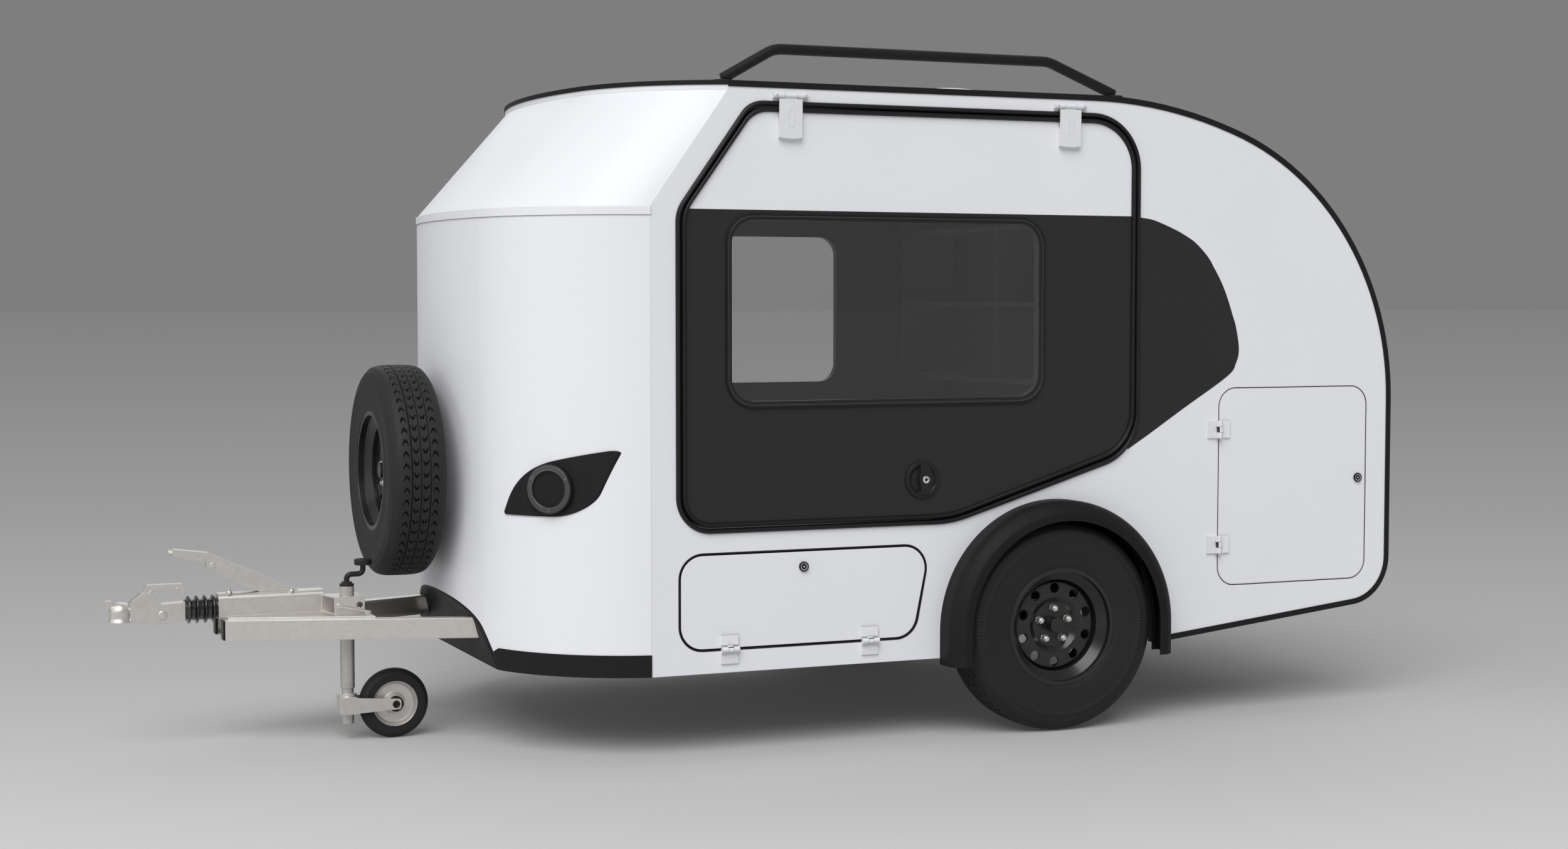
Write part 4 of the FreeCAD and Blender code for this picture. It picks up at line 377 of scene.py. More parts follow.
def addBump(tree, shader, sockets):
    bump = newNode(tree, "Bump", {"Distance": 0.001, **sockets})
    setSockets(tree, shader, {"Normal": bump.outputs["Normal"]})


# every finish: colour range, roughness range and grain as (scale, bump); clear coat, shine, the painted highlight on
# sharp edges, the painted shade on the cabin's inner side and the colour below the painted level are optional
finishes = {
    "bodyWhite": {"colour": ((0.78, 0.786, 0.82), (0.805, 0.811, 0.846)), "rough": (0.36, 0.46),
        "grain": (220.0, 0.048), "edge": (0.84, 0.84, 0.85), "coat": 0.1, "shine": 0.3,
        "inside": (0.03, 0.03, 0.031)},
    "doorPaint": {"colour": ((0.78, 0.786, 0.82), (0.805, 0.811, 0.846)), "rough": (0.38, 0.48),
        "grain": (220.0, 0.048), "shine": 0.2, "inside": (0.03, 0.03, 0.031),
        "below": (0.0235, 0.0235, 0.0238)},
    "bandGrey": {"colour": ((0.023, 0.023, 0.0232), (0.024, 0.024, 0.0243)), "rough": (0.42, 0.52),
        "grain": (260.0, 0.04), "shine": 0.2},
    "hingeWhite": {"colour": ((0.72, 0.725, 0.74), (0.76, 0.765, 0.775)), "rough": (0.32, 0.42),
        "grain": (500.0, 0.04), "edge": (0.8, 0.8, 0.82), "coat": 0.1},
    "trimBlack": {"colour": ((0.0095, 0.0095, 0.0098), (0.0135, 0.0135, 0.0138)), "rough": (0.42, 0.58),
        "grain": (700.0, 0.2), "edge": (0.026, 0.026, 0.027), "shine": 0.16},
    "fenderBlack": {"colour": ((0.0102, 0.0102, 0.0104), (0.0132, 0.0132, 0.0135)), "rough": (0.52, 0.62),
        "grain": (520.0, 0.2), "edge": (0.024, 0.024, 0.0245), "shine": 0.13},
    "leafGrey": {"colour": ((0.0145, 0.0145, 0.0147), (0.017, 0.017, 0.0172)), "rough": (0.5, 0.6),
        "grain": (600.0, 0.12), "edge": (0.036, 0.036, 0.037), "shine": 0.12},
    "lipRubber": {"colour": ((0.006, 0.006, 0.0062), (0.01, 0.01, 0.0104)), "rough": (0.34, 0.5),
        "grain": (900.0, 0.16), "shine": 0.3},
    "bootRubber": {"colour": ((0.005, 0.0046, 0.0042), (0.008, 0.0072, 0.0066)), "rough": (0.12, 0.22),
        "grain": (200.0, 0.08), "coat": 0.9},
    "rimBlack": {"colour": ((0.01, 0.01, 0.0105), (0.014, 0.014, 0.0145)), "rough": (0.24, 0.34),
        "grain": (180.0, 0.04), "edge": (0.02, 0.02, 0.021), "coat": 0.25, "shine": 0.35},
    "plasticBlack": {"colour": ((0.01, 0.01, 0.0105), (0.015, 0.015, 0.0155)), "rough": (0.3, 0.42),
        "grain": (600.0, 0.12), "edge": (0.03, 0.03, 0.03), "shine": 0.3},
    "ventPlastic": {"colour": ((0.55, 0.55, 0.55), (0.62, 0.62, 0.62)), "rough": (0.4, 0.55),
        "grain": (500.0, 0.12), "edge": (0.66, 0.66, 0.66)},
    "boardWood": {"colour": ((0.1, 0.095, 0.09), (0.13, 0.125, 0.12)), "rough": (0.5, 0.65),
        "grain": (120.0, 0.24), "edge": (0.16, 0.155, 0.15)},
    "tailRed": {"colour": ((0.3, 0.006, 0.006), (0.36, 0.01, 0.01)), "rough": (0.12, 0.2),
        "grain": (300.0, 0.08), "coat": 0.5},
    "lensBlack": {"colour": ((0.013, 0.013, 0.013), (0.016, 0.016, 0.016)), "rough": (0.28, 0.36),
        "grain": (200.0, 0.02), "shine": 0.12},
    "bezelGrey": {"colour": ((0.034, 0.034, 0.035), (0.052, 0.052, 0.053)), "rough": (0.22, 0.32),
        "grain": (420.0, 0.04), "edge": (0.16, 0.16, 0.165), "coat": 0.3},
    "plateWhite": {"colour": ((0.62, 0.62, 0.61), (0.68, 0.68, 0.67)), "rough": (0.4, 0.5),
        "grain": (300.0, 0.04), "edge": (0.72, 0.72, 0.72), "coat": 0.1},
    "capBlack": {"colour": ((0.0035, 0.0035, 0.0036), (0.0055, 0.0055, 0.0056)), "rough": (0.3, 0.42),
        "grain": (700.0, 0.12), "edge": (0.02, 0.02, 0.02), "shine": 0.3},
}


def makeFinish(name, look):
    tree, shader = newMaterial(name)
    scale, bump = look["grain"]
    patches = useGroup(tree, "patches", {"Patch Scale": 2.2, "Speck Scale": scale * 0.4, "Speck Share": 0.35})
    edges = useGroup(tree, "edges")
    colour = mixColour(tree, patches["Mask"], *look["colour"])
    if "below" in look:
        colour = mixColour(tree, useGroup(tree, "band")["Mask"], colour, look["below"])
    # painted highlight: sharp edges take a lighter colour under any light
    if "edge" in look:
        colour = mixColour(tree, edges["Mask"], colour, look["edge"])
    # painted shade: faces inside the cabin are coloured near black
    if "inside" in look:
        colour = mixColour(tree, useGroup(tree, "inside")["Mask"], colour, look["inside"])
    setSockets(tree, shader, {"Base Color": colour, "Roughness": mapValue(tree, patches["Mask"], *look["rough"]),
                              "Specular IOR Level": look.get("shine", 0.5), "Coat Weight": look.get("coat", 0.0),
                              "Coat Roughness": 0.15})
    grain = useGroup(tree, "grain", {"Scale": scale})
    addBump(tree, shader, {"Strength": bump, "Height": grain["Height"], "Normal": edges["Normal"]})


# hot zinc: light and dark of its crystals, and their roughness
zincs = {
    "zinc": ((0.76, 0.732, 0.694), (0.635, 0.61, 0.574), (0.32, 0.46)),
    "zincGrey": ((0.6, 0.575, 0.545), (0.5, 0.48, 0.452), (0.34, 0.48)),
    "zincBright": ((0.78, 0.76, 0.73), (0.66, 0.64, 0.61), (0.16, 0.28))}
# painted highlight: the zinc's sharp edges are coloured lighter
zincEdgeHighlight = (0.86, 0.85, 0.83)


def makeZinc(name, light, dark, rough):
    tree, shader = newMaterial(name)
    spangle = useGroup(tree, "spangle", {"Scale": 55.0})
    edges = useGroup(tree, "edges", {"Radius": 0.002})
    colour = mixColour(tree, edges["Mask"], mixColour(tree, spangle["Value"], light, dark), zincEdgeHighlight)
    setSockets(tree, shader, {"Base Color": colour, "Roughness": mapValue(tree, spangle["Value"], *rough),
                              "Metallic": 0.85})
    addBump(tree, shader, {"Strength": 0.08, "Height": spangle["Height"], "Normal": edges["Normal"]})


def makeRubber(name, centre, axis, tone, ribs):
    # tyre rubber with a count of fine radial ribs between two radii: height = sine of count * angle round the axis
    tree, shader = newMaterial(name)
    low, high, count = ribs
    patches = useGroup(tree, "patches", {"Patch Scale": 5.0, "Speck Scale": 160.0, "Speck Share": 0.4})
    dark, light = ((grey, grey, grey * 1.02) for grey in tone)
    # painted shade: the tread's cuts go near black by their depth, as shade fills them
    cut = newNode(tree, "Attribute")
    cut.attribute_name = "treadDepth"
    colour = mixColour(tree, cut.outputs["Fac"], mixColour(tree, patches["Mask"], dark, light), (0.0015,) * 3)
    setSockets(tree, shader, {"Base Color": colour, "Roughness": mapValue(tree, patches["Mask"], 0.52, 0.66),
                              "Specular IOR Level": 0.25})
    mapping = newNode(tree, "Mapping", {"Vector": newNode(tree, "TexCoord").outputs["Object"],
                                        "Location": tuple(-c for c in centre)})
    place = newNode(tree, "SeparateXYZ", {0: mapping.outputs["Vector"]}).outputs
    across, up = place["X" if axis == "y" else "Y"], place["Z"]
    angle = mathNode(tree, "ARCTAN2", up, across)
    wave = mathNode(tree, "SINE", mathNode(tree, "MULTIPLY", angle, count))
    squares = (mathNode(tree, "MULTIPLY", side, side) for side in (across, up))
    radius = mathNode(tree, "SQRT", mathNode(tree, "ADD", *squares))
    ring = mathNode(tree, "MULTIPLY", mathNode(tree, "GREATER_THAN", radius, low),
                    mathNode(tree, "LESS_THAN", radius, high))
    grain = mathNode(tree, "MULTIPLY", useGroup(tree, "grain", {"Scale": 900.0})["Height"], 0.5)
    height = mathNode(tree, "ADD", mathNode(tree, "MULTIPLY", wave, ring), grain)
    addBump(tree, shader, {"Strength": 0.35, "Height": height})


def makeGlass(name):
    tree, shader = newMaterial(name)
    patches = useGroup(tree, "patches", {"Patch Scale": 4.0, "Speck Scale": 60.0, "Speck Share": 0.2})
    tint = mixColour(tree, patches["Mask"], (0.955, 0.955, 0.955), (0.935, 0.94, 0.94))
    setSockets(tree, shader, {"Base Color": tint, "Roughness": 0.0, "Transmission Weight": 0.978, "IOR": 1.12})
    # light on its way to the cabin passes the pane straight
    clear = newNode(tree, "BsdfTransparent", {"Color": (0.55, 0.55, 0.55, 1.0)})
    shadow = newNode(tree, "LightPath").outputs["Is Shadow Ray"]
    mixShaders(tree, shadow, shader, clear, tree.nodes["Material Output"])


for name, look in finishes.items():
    makeFinish(name, look)
for name, look in zincs.items():
    makeZinc(name, *look)
makeGlass("paneGlass")
print("materials made:", len(materials))


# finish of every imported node
nodeFinish = {
    "bodyWhite": ["side_wall_left", "side_wall_right", "nose_panel", "nose_trim", "nose_hood", "roof_panel",
        "locker_lid_left", "locker_lid_right", "store_lid_left", "store_lid_right"],
    "doorPaint": ["door_panel_left", "door_panel_right"],
    "hingeWhite": ["hinge_bases", "door_hardware_left", "door_hardware_right"],
    "trimBlack": ["edge_trims", "nose_skirt", "roof_rails", "plate_holder"],
    "fenderBlack": ["fenders"],
    "leafGrey": ["lamp_surrounds"],
    "plasticBlack": ["jockey_crank", "door_latch_left", "door_latch_right", "wheel_boxes", "locker_tubs"],
    "ventPlastic": ["roof_vent"],
    "lipRubber": ["door_frames", "door_seal_left", "door_seal_right"],
    "bootRubber": ["bellows"],
    "rimBlack": ["rim_left", "rim_right", "spare_rim", "spare_carrier"],
    "zinc": ["chassis_rails", "cross_members", "drawbars", "axle_beam", "trailing_arms", "overrun_housing",
        "handbrake_lever", "jockey_clamp", "jockey_fork", "coupling_head", "jockey_rim"],
    "zincGrey": ["jockey_sleeve", "jockey_leg"],
    "paneGlass": ["door_window_left", "door_window_right"],
    "lensBlack": ["front_lamps"],
    "tailRed": ["tail_lamps"],
    "boardWood": ["floor_panel", "bed_deck", "shelf_unit"],
}


def setFinish(node, finish):
    data = nodes[node].data
    data.materials.clear()
    data.materials.append(materials[finish])
    data.polygons.foreach_set("material_index", np.zeros(len(data.polygons), np.int32))


for finish, names in nodeFinish.items():
    for name in names:
        setFinish(name, finish)
print("packed nodes finished")


# studio: a floor whose grey falls off along one floor direction, as painted falloff of the studio's light, and a
# plain grey behind it; each sun has its strength, the way to it and its softness in degrees
studio = {
    "floorHalf": 450.0, "direction": (-0.3924, -0.9198, 0.0), "rise": 5.334, "start": 0.485, "rows": 1.354,
    "greys": ((0.0, 0.196), (0.36, 0.2), (0.44, 0.227), (0.6, 0.298), (0.8, 0.418), (1.0, 0.564)),
    "glow": 0.075, "backGrey": 0.209, "skyLight": 0.3, "skyColour": (0.98, 0.99, 1.0, 1.0),
    "suns": ((2.3, (0.36, 0.56, 0.74), 45.0), (0.6, (-0.35, -0.72, 0.6), 60.0), (0.5, (0.85, 0.1, 0.4), 60.0))}


def makeFloor(c):
    size = c["floorHalf"]
    mesh = bpy.data.meshes.new("studioFloor")
    mesh.from_pydata([(-size, -size, 0), (size, -size, 0), (size, size, 0), (-size, size, 0)], [], [(0, 1, 2, 3)])
    floor = bpy.data.objects.new("studioFloor", mesh)
    scene.collection.objects.link(floor)
    tree, shader = newMaterial("floorGrey")
    along = dotNode(tree, newNode(tree, "TexCoord").outputs["Object"], c["direction"])
    offset = float(np.dot(camera["place"], c["direction"]))
    depth = mathNode(tree, "MAXIMUM", mathNode(tree, "SUBTRACT", along, offset), 1.0)
    # share of the way down the picture at which a floor point of that depth lies
    drop = mathNode(tree, "ADD", mathNode(tree, "DIVIDE", c["rise"], depth), c["start"])
    # painted falloff of light: the floor's grey drops from near to far
    ramp = newNode(tree, "ValToRGB", {"Fac": mathNode(tree, "DIVIDE", drop, c["rows"])})
    elements = ramp.color_ramp.elements
    elements.remove(elements[1])
    for k, (at, grey) in enumerate(c["greys"]):
        element = elements[0] if k == 0 else elements.new(at)
        element.position = at
        element.color = (grey, grey, grey, 1.0)
    # a little of the floor's own light keeps the shadow under the trailer soft
    colour = ramp.outputs["Color"]
    setSockets(tree, shader, {"Base Color": colour, "Emission Color": colour, "Emission Strength": c["glow"],
                              "Roughness": 0.9, "Specular IOR Level": 0.0})
    mesh.materials.append(materials["floorGrey"])


def makeLight(c):
    world = bpy.data.worlds.new("studioSky")
    world.use_nodes = True
    tree = world.node_tree
    soft = tree.nodes["Background"]
    setSockets(tree, soft, {"Color": c["skyColour"], "Strength": c["skyLight"]})
    plain = newNode(tree, "Background", {"Color": (c["backGrey"],) * 3 + (1.0,)})
    path = newNode(tree, "LightPath").outputs
    seen = mathNode(tree, "MAXIMUM", path["Is Camera Ray"], path["Is Transmission Ray"])
    mixShaders(tree, seen, soft, plain, tree.nodes["World Output"])
    scene.world = world
    for number, (strength, towards, softness) in enumerate(c["suns"], start=1):
        data = bpy.data.lights.new(f"softLamp{number}", "SUN")
        data.energy, data.angle = strength, math.radians(softness)
        lamp = bpy.data.objects.new(f"softLamp{number}", data)
        lamp.rotation_euler = Vector(towards).to_track_quat("Z", "Y").to_euler()
        scene.collection.objects.link(lamp)


makeFloor(studio)
makeLight(studio)
print("studio built")


# rubber edge of the door, as (behind the wall's front edge, up, radius)
doorEdge = {
    "corners": ((-0.084, 0.722, 0.12), (-0.084, 1.76, 0.12), (-0.338, 2.117, 0.095), (-1.804, 2.117, 0.19),
        (-1.804, 0.945, 0.19), (-1.075, 0.722, 0.42))}


def doorPath(inset, steps=14):
    # outer edge of the door's rubber, moved in by the inset, as (x, z)
    kick = inset * 0.15
    shifts = ((-inset, inset, -inset), (-inset, -kick, 0), (-inset / 2, -inset, 0), (inset, -inset, -inset),
              (inset, inset, -inset), (kick, inset, 0))
    return roundedPath(np.array(doorEdge["corners"]) + shifts + (wallFront, 0, 0), steps)


def smoothCurve(points, steps=6):
    # Catmull-Rom through the points: each stretch leaves and arrives along its neighbours' chord
    p = np.asarray(points, float)
    p = np.concatenate([2 * p[:1] - p[1:2], p, 2 * p[-1:] - p[-2:-1]])
    t = np.linspace(0, 1, steps, endpoint=False)[None, :, None]
    a, b, c, d = (p[k:len(p) - 3 + k, None, :] for k in range(4))
    curve = 0.5 * (2 * b + (c - a) * t + (2 * a - 5 * b + 4 * c - d) * t ** 2 + (3 * b - a - 3 * c + d) * t ** 3)
    return np.concatenate([curve.reshape(-1, p.shape[1]), p[-2:-1]])


# dark grey paint on the wall behind each door: its rear curve, the foot where it meets the door, and the stretch
# of the door's edge that it follows; places are behind the wall's front edge, then up
sideBand = {
    "curve": ((1.8, 1.763), (1.859, 1.754), (1.933, 1.728), (1.982, 1.706), (2.032, 1.677), (2.082, 1.63),
        (2.108, 1.593), (2.14, 1.541), (2.165, 1.488), (2.187, 1.429), (2.205, 1.376), (2.217, 1.302),
        (2.206, 1.254), (2.169, 1.206), (1.989, 1.096), (1.82, 0.991)),
    "foot": (1.762, 0.957), "behind": 1.6, "stretch": (0.955, 1.762), "thickness": 0.0008}


def makeBands(c):
    edge, (low, high) = doorPath(0.0, 24), c["stretch"]
    edge = edge[(edge[:, 0] < wallFront - c["behind"]) & (edge[:, 1] > low) & (edge[:, 1] < high)]
    curve = smoothCurve([(wallFront - back, up) for back, up in c["curve"]])
    foot = (wallFront - c["foot"][0], c["foot"][1])
    outline = np.concatenate([curve[:-1], [foot], edge[np.argsort(edge[:, 1])]])
    for side, sign in sides:
        shape = plateShape(outline, sign * wallSide, sign * (wallSide + c["thickness"]))
        addPiece(f"sideBand_{side}", shape, "bandGrey", "chassis", smooth=0)


makeBands(sideBand)


# rubber beads on both door lips: a half round on a flat foot
doorBead = {"halfWidth": 0.0068, "height": 0.0075, "foot": 0.004, "outer": 0.0078, "inner": 0.0272}


def beadProfile(half, height, foot, count=9):
    t = np.linspace(0, np.pi, count)
    arc = np.stack([half * np.cos(t), foot + height * np.sin(t)], axis=1)
    return np.concatenate([[[half, foot - 0.002]], arc, [[-half, foot - 0.002]]])


def onSide(path, level):
    # an (x, z) path laid on a level of Y
    return np.insert(path, 1, level, axis=1)


def makeBeads(c):
    profile = beadProfile(c["halfWidth"], c["height"], c["foot"])
    for side, sign in sides:
        for part, body, inset in (("frame", "chassis", c["outer"]), ("door", f"door_{side}", c["inner"])):
            shape = carriedShape(onSide(doorPath(inset), sign * wallSide), profile, (0, sign, 0))
            addPiece(f"lipBead_{part}_{side}", shape, "lipRubber", body)


makeBeads(doorBead)
print("paint bands and door lips made")


# the three big wheels: name, tyre, rim, body and the way that each faces
wheels = (("left", "tyre_left", "rim_left", "wheel_left", (0, 1, 0)),
          ("right", "tyre_right", "rim_right", "wheel_right", (0, -1, 0)),
          ("spare", "spare_tyre", "spare_rim", "chassis", (1, 0, 0)))


# treaded tyre: radius over the width w from -1 to 1 is radius - drop |w|^5 - bow w^2, less grooves and curved
# sipes cut along the rows, where a flank says how steep a cut's sides are; the side wall runs from the shoulder to
# the bead with two raised rings, as (from the middle, radius); ribs are (from, to, count); a slimmer tyre keeps its
# foot on the rim flange and loses width from there to the tread
tyre = {
    "radius": 0.3595, "drop": 0.0075, "bow": 0.0015, "treadHalf": 0.082, "pitches": 56, "perPitch": 12,
    "across": 83, "grooves": (-0.42, 0.0, 0.42), "rows": ((-0.66, -1), (-0.21, 1), (0.21, 1), (0.66, -1)),
    "grooveDepth": 0.004, "grooveHalf": 0.016, "grooveFlank": 1.6, "sipeDepth": 0.007, "sipeReach": 0.135,
    "sipeBow": 0.36, "sipeHalf": 0.105, "sipeFlank": 1.5, "ribs": (0.268, 0.336, 170.0),
    "tone": (0.0135, 0.018),
    "wall": ((0.0885, 0.344), (0.0935, 0.336), (0.096, 0.334), (0.0985, 0.328), (0.1003, 0.318),
        (0.1012, 0.306), (0.1022, 0.3045), (0.1024, 0.299), (0.1015, 0.2975), (0.1014, 0.28), (0.1, 0.26),
        (0.0978, 0.242), (0.095, 0.228), (0.0952, 0.2255), (0.0925, 0.216), (0.0905, 0.206), (0.0897, 0.2046)),
    "inner": ((0.0826, 0.2046), (0.0826, 0.1985), (-0.0826, 0.1985), (-0.0826, 0.2046)), "slim": 0.0,
    "slimFrom": 0.2046, "slimOver": 0.04}
# the spare's lighter rubber is painted light: its side wall faces the light from the front and reads brighter
spareTyre = tyre | {"slim": 0.0078, "tone": (0.0165, 0.0215)}


def treadCuts(c, theta, w):
    # depth of the cuts at every angle and width: a groove or sipe falls off over its own half width
    depth = np.zeros((len(theta), w.shape[1]))
    for groove in c["grooves"]:
        cut = np.clip(c["grooveFlank"] - np.abs(w - groove) / c["grooveHalf"], 0, 1)
        depth = np.maximum(depth, c["grooveDepth"] * cut)
    for row, sign in c["rows"]:
        a = (w - row) / c["sipeReach"]
        phase = np.mod(theta * c["pitches"] / (2 * np.pi) + 0.5 + sign * c["sipeBow"] * a ** 2, 1.0) - 0.5
        thick = c["sipeHalf"] * np.sqrt(np.clip(1 - a ** 2, 0, 1)) + 1e-6
        cut = np.clip(c["sipeFlank"] - np.abs(phase) / thick, 0, 1) * (np.abs(a) < 1)
        depth = np.maximum(depth, c["sipeDepth"] * cut)
    return depth


def makeTyre(name, node, body, axis, c):
    centre = middle(node)
    theta = np.linspace(0, 2 * np.pi, c["pitches"] * c["perPitch"], endpoint=False)[:, None]
    w = np.linspace(-1, 1, c["across"])[None, :]
    cuts = treadCuts(c, theta, w)
    wall, inner = np.array(c["wall"]), np.array(c["inner"])
    wall[:, 0] -= c["slim"] * np.clip((wall[:, 1] - c["slimFrom"]) / c["slimOver"], 0, 1)
    crown = c["radius"] - c["drop"] * np.abs(w[0]) ** 5 - c["bow"] * w[0] ** 2
    offsets = np.concatenate([-wall[::-1, 0], w[0] * (c["treadHalf"] - c["slim"]), wall[:, 0], inner[:, 0]])
    radii = np.concatenate([wall[::-1, 1], crown, wall[:, 1], inner[:, 1]])
    # depth of each cut, kept on the points for the rubber's painted shade in the cuts
    depth = np.zeros((len(theta), len(offsets)), np.float32)
    depth[:, len(wall):len(wall) + c["across"]] = cuts / c["sipeDepth"]
    radii = np.broadcast_to(radii, depth.shape).copy()
    radii[:, len(wall):len(wall) + c["across"]] -= cuts
    along, aside, up = np.broadcast_to(offsets, radii.shape), radii * np.cos(theta), radii * np.sin(theta)
    points = np.array(centre) + np.stack([aside, along, up] if axis == "y" else [along, -aside, up], axis=-1)
    makeRubber(name + "Rubber", centre, axis, c["tone"], c["ribs"])
    blocks = [gridFaces(len(theta), len(offsets), wrapRows=True, wrapCols=True)]
    obj = addPiece(name, (points.reshape(-1, 3), blocks), name + "Rubber", body, smooth=35)
    layer = obj.data.attributes.new("treadDepth", "FLOAT", "POINT")
    layer.data.foreach_set("value", depth.ravel())
    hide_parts(node)


for side, _ in sides:
    makeTyre(f"roadTyre_{side}", f"tyre_{side}", f"wheel_{side}", "y", tyre)
makeTyre("spareTread", "spare_tyre", "chassis", "x", spareTyre)
# ribs that start beyond the jockey wheel's tyre, so that it shows none
makeRubber("jockeyRubber", middle("jockey_tyre"), "y", tyre["tone"], (2.0, 3.0, 170.0))
setFinish("jockey_tyre", "jockeyRubber")
print("tyres made")


# rims turned on their axle so that a round hole and a nut stand at the top, as in the picture; the bore's points,
# found by their radius, step outwards by the play and so clear the flats of the spindle
rimTurn = {"degrees": 18.0, "bore": (0.005, 0.0225), "play": 0.0008}


def makeRims(c):
    turn = math.radians(c["degrees"])
    for _, tyreNode, node, body, facing in wheels:
        points, triangles = meshArrays(node)
        centre, first = np.array(middle(tyreNode)), np.cross(np.abs(facing), upward)
        # turned in the plane of first and upward: a' = a cos t - b sin t, b' = a sin t + b cos t
        a, b = (points - centre) @ first, (points - centre) @ upward
        a, b, oldA, oldB = a * math.cos(turn) - b * math.sin(turn), a * math.sin(turn) + b * math.cos(turn), a, b
        reach = np.hypot(a, b)
        bore = (reach > c["bore"][0]) & (reach < c["bore"][1])
        grow = 1 + np.where(bore, c["play"] / np.maximum(reach, c["bore"][0]), 0)
        points += np.outer(a * grow - oldA, first) + np.outer(b * grow - oldB, upward)
        obj = addPiece("turned_" + node, (points, [triangles]), "rimBlack", body, smooth=30)
        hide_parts(node)


makeRims(rimTurn)
print("rims turned")


# hex wheel nuts with a washer foot over the rim's studs
nuts = {"circle": 0.05715, "hex": 0.0125, "height": 0.021, "base": 0.021, "count": 5}


def makeNuts(name, body, centre, axis, c):
    axis = np.array(axis, float)
    aside, r, h = np.cross(axis, upward), c["hex"], c["height"]
    hexagon = [(r * 1.12, 0), (r * 1.12, 0.002), (r, 0.003), (r, h - 0.002), (r * 0.86, h)]
    stud = [(0, h), (r * 0.62, h), (r * 0.62, h + 0.004), (r * 0.5, h + 0.0055), (0, h + 0.0055)]
    shapes = []
    for t in np.linspace(0, 2 * np.pi, c["count"], endpoint=False):
        at = np.array(centre) + axis * c["base"] + c["circle"] * (np.cos(t) * upward + np.sin(t) * aside)
        shapes += [turnedShape(hexagon, at, axis, 6, capped=True), turnedShape(stud, at, axis, 16)]
    addPiece(name, gather(shapes), "zincBright", body, smooth=30)


for name, tyreNode, _, body, facing in wheels:
    makeNuts(f"wheelNuts_{name}", body, middle(tyreNode), facing, nuts)
print("wheel nuts made")


# helpers for small fittings

def ringLoops(corners, sign, levels):
    # closed band round an outline: one loop for each (inset, y), with every corner moved in towards the outline's
    # middle; a slanted side keeps close to its own inset
    corners = np.asarray(corners, float)
    lean = np.copysign(1, corners[:, :2].mean(0) - corners[:, :2])
    loops = []
    for inset, level in levels:
        radii = np.maximum(corners[:, 2:] - inset, 0.001)
        path = roundedPath(np.hstack([corners[:, :2] + inset * lean, radii]), 12)
        loops.append(onSide(path, sign * level))
    points = np.concatenate(loops)
    return points, [gridFaces(len(loops), len(loops[0]), wrapRows=True, wrapCols=True)]


def screwHead(centre, axis, r, h):
    # low round head with a recess in its middle
    profile = [(0, h * 0.35), (r * 0.36, h * 0.35), (r * 0.45, h), (r * 0.8, h), (r, h * 0.45), (r, -0.0012),
               (0, -0.0012)]
    return turnedShape(profile, centre, axis, 20)


# hatch edges: black rubber round the low hatch, and a thin black line round the rear one, which is painted shade of
# the gap round its lid; places are from the wall's front edge; each loop is (inset, out from the wall), and deep is
# the level inside the wall; locks are (lid, back, up)
hatches = {
    "locker": ((-0.095, 0.344, 0.08), (-0.095, 0.656, 0.08), (-0.995, 0.656, 0.08), (-0.933, 0.344, 0.08)),
    "store": ((-2.134, 0.459, 0.07), (-2.134, 1.166, 0.07), (-2.774, 1.166, 0.07), (-2.774, 0.459, 0.07)),
    "deep": -0.02,
    "lockerSeal": ((-0.004, -0.0004), (-0.004, 0.0007), (0.001, 0.0007), (0.001, None), (0.0002, None),
        (0.0002, -0.0004)),
    "storeGapShade": ((0.0002, -0.0003), (0.0009, -0.0003), (0.0009, None), (0.0002, None)),
    "lockerEdge": ((0.0052, -0.0003), (0.0044, -0.0006), (0.0044, None), (0.0052, None)),
    "storeEdge": ((0.0052, -0.0001), (0.0034, -0.0004), (0.0034, None), (0.0052, None)), "lockRadius": 0.0165,
    "locks": (("locker", 0.529, 0.602), ("store", 2.736, 0.83))}


def makeHatchEdges(c):
    def band(lid, loops, sign):
        corners = np.array(c[lid]) + (wallFront, 0, 0)
        levels = [(inset, wallSide + (c["deep"] if out is None else out)) for inset, out in c[loops]]
        return ringLoops(corners, sign, levels)

    r = c["lockRadius"]
    cap = [(0, 0.0052), (r * 0.16, 0.0052), (r * 0.18, 0.0066), (r * 0.55, 0.0066), (r * 0.62, 0.0058),
           (r * 0.7, 0.0058), (r * 0.76, 0.0078), (r * 0.94, 0.0078), (r, 0.0066), (r, 0.0004), (0, 0.0004)]
    for side, sign in sides:
        # one piece: the low hatch's rubber seal and the painted shade lining the rear hatch's gap
        seal = gather([band("locker", "lockerSeal", sign), band("store", "storeGapShade", sign)])
        addPiece(f"hatchSealAndGapShade_{side}", seal, "lipRubber", "chassis")
        addPiece(f"lidEdge_locker_{side}", band("locker", "lockerEdge", sign), "lipRubber", f"locker_{side}")
        addPiece(f"lidEdge_store_{side}", band("store", "storeEdge", sign), "bodyWhite", f"store_{side}")
        for lid, back, up in c["locks"]:
            shape = turnedShape(cap, (wallFront - back, sign * wallSide, up), (0, sign, 0), 32)
            addPiece(f"lockCap_{lid}_{side}", shape, "capBlack", f"{lid}_{side}")


makeHatchEdges(hatches)


# covers of the door hinges with a raised frame, and a screw in each ear; slot is (half width, low, high, radius);
# thick and frame are (how far sunk, how far proud)
hinge = {
    "places": (0.478, 1.517), "half": 0.0405, "top": 2.1242, "bottom": 2.0, "arch": 0.0045, "face": 0.015,
    "thick": (0.0008, 0.002), "edge": 0.001, "slot": (0.0095, 2.0365, 2.0905, 0.002), "frame": (0.0002, 0.0009),
    "ears": 0.0505, "earUp": 2.135, "earOut": 0.0208, "screw": (0.0044, 0.0014)}


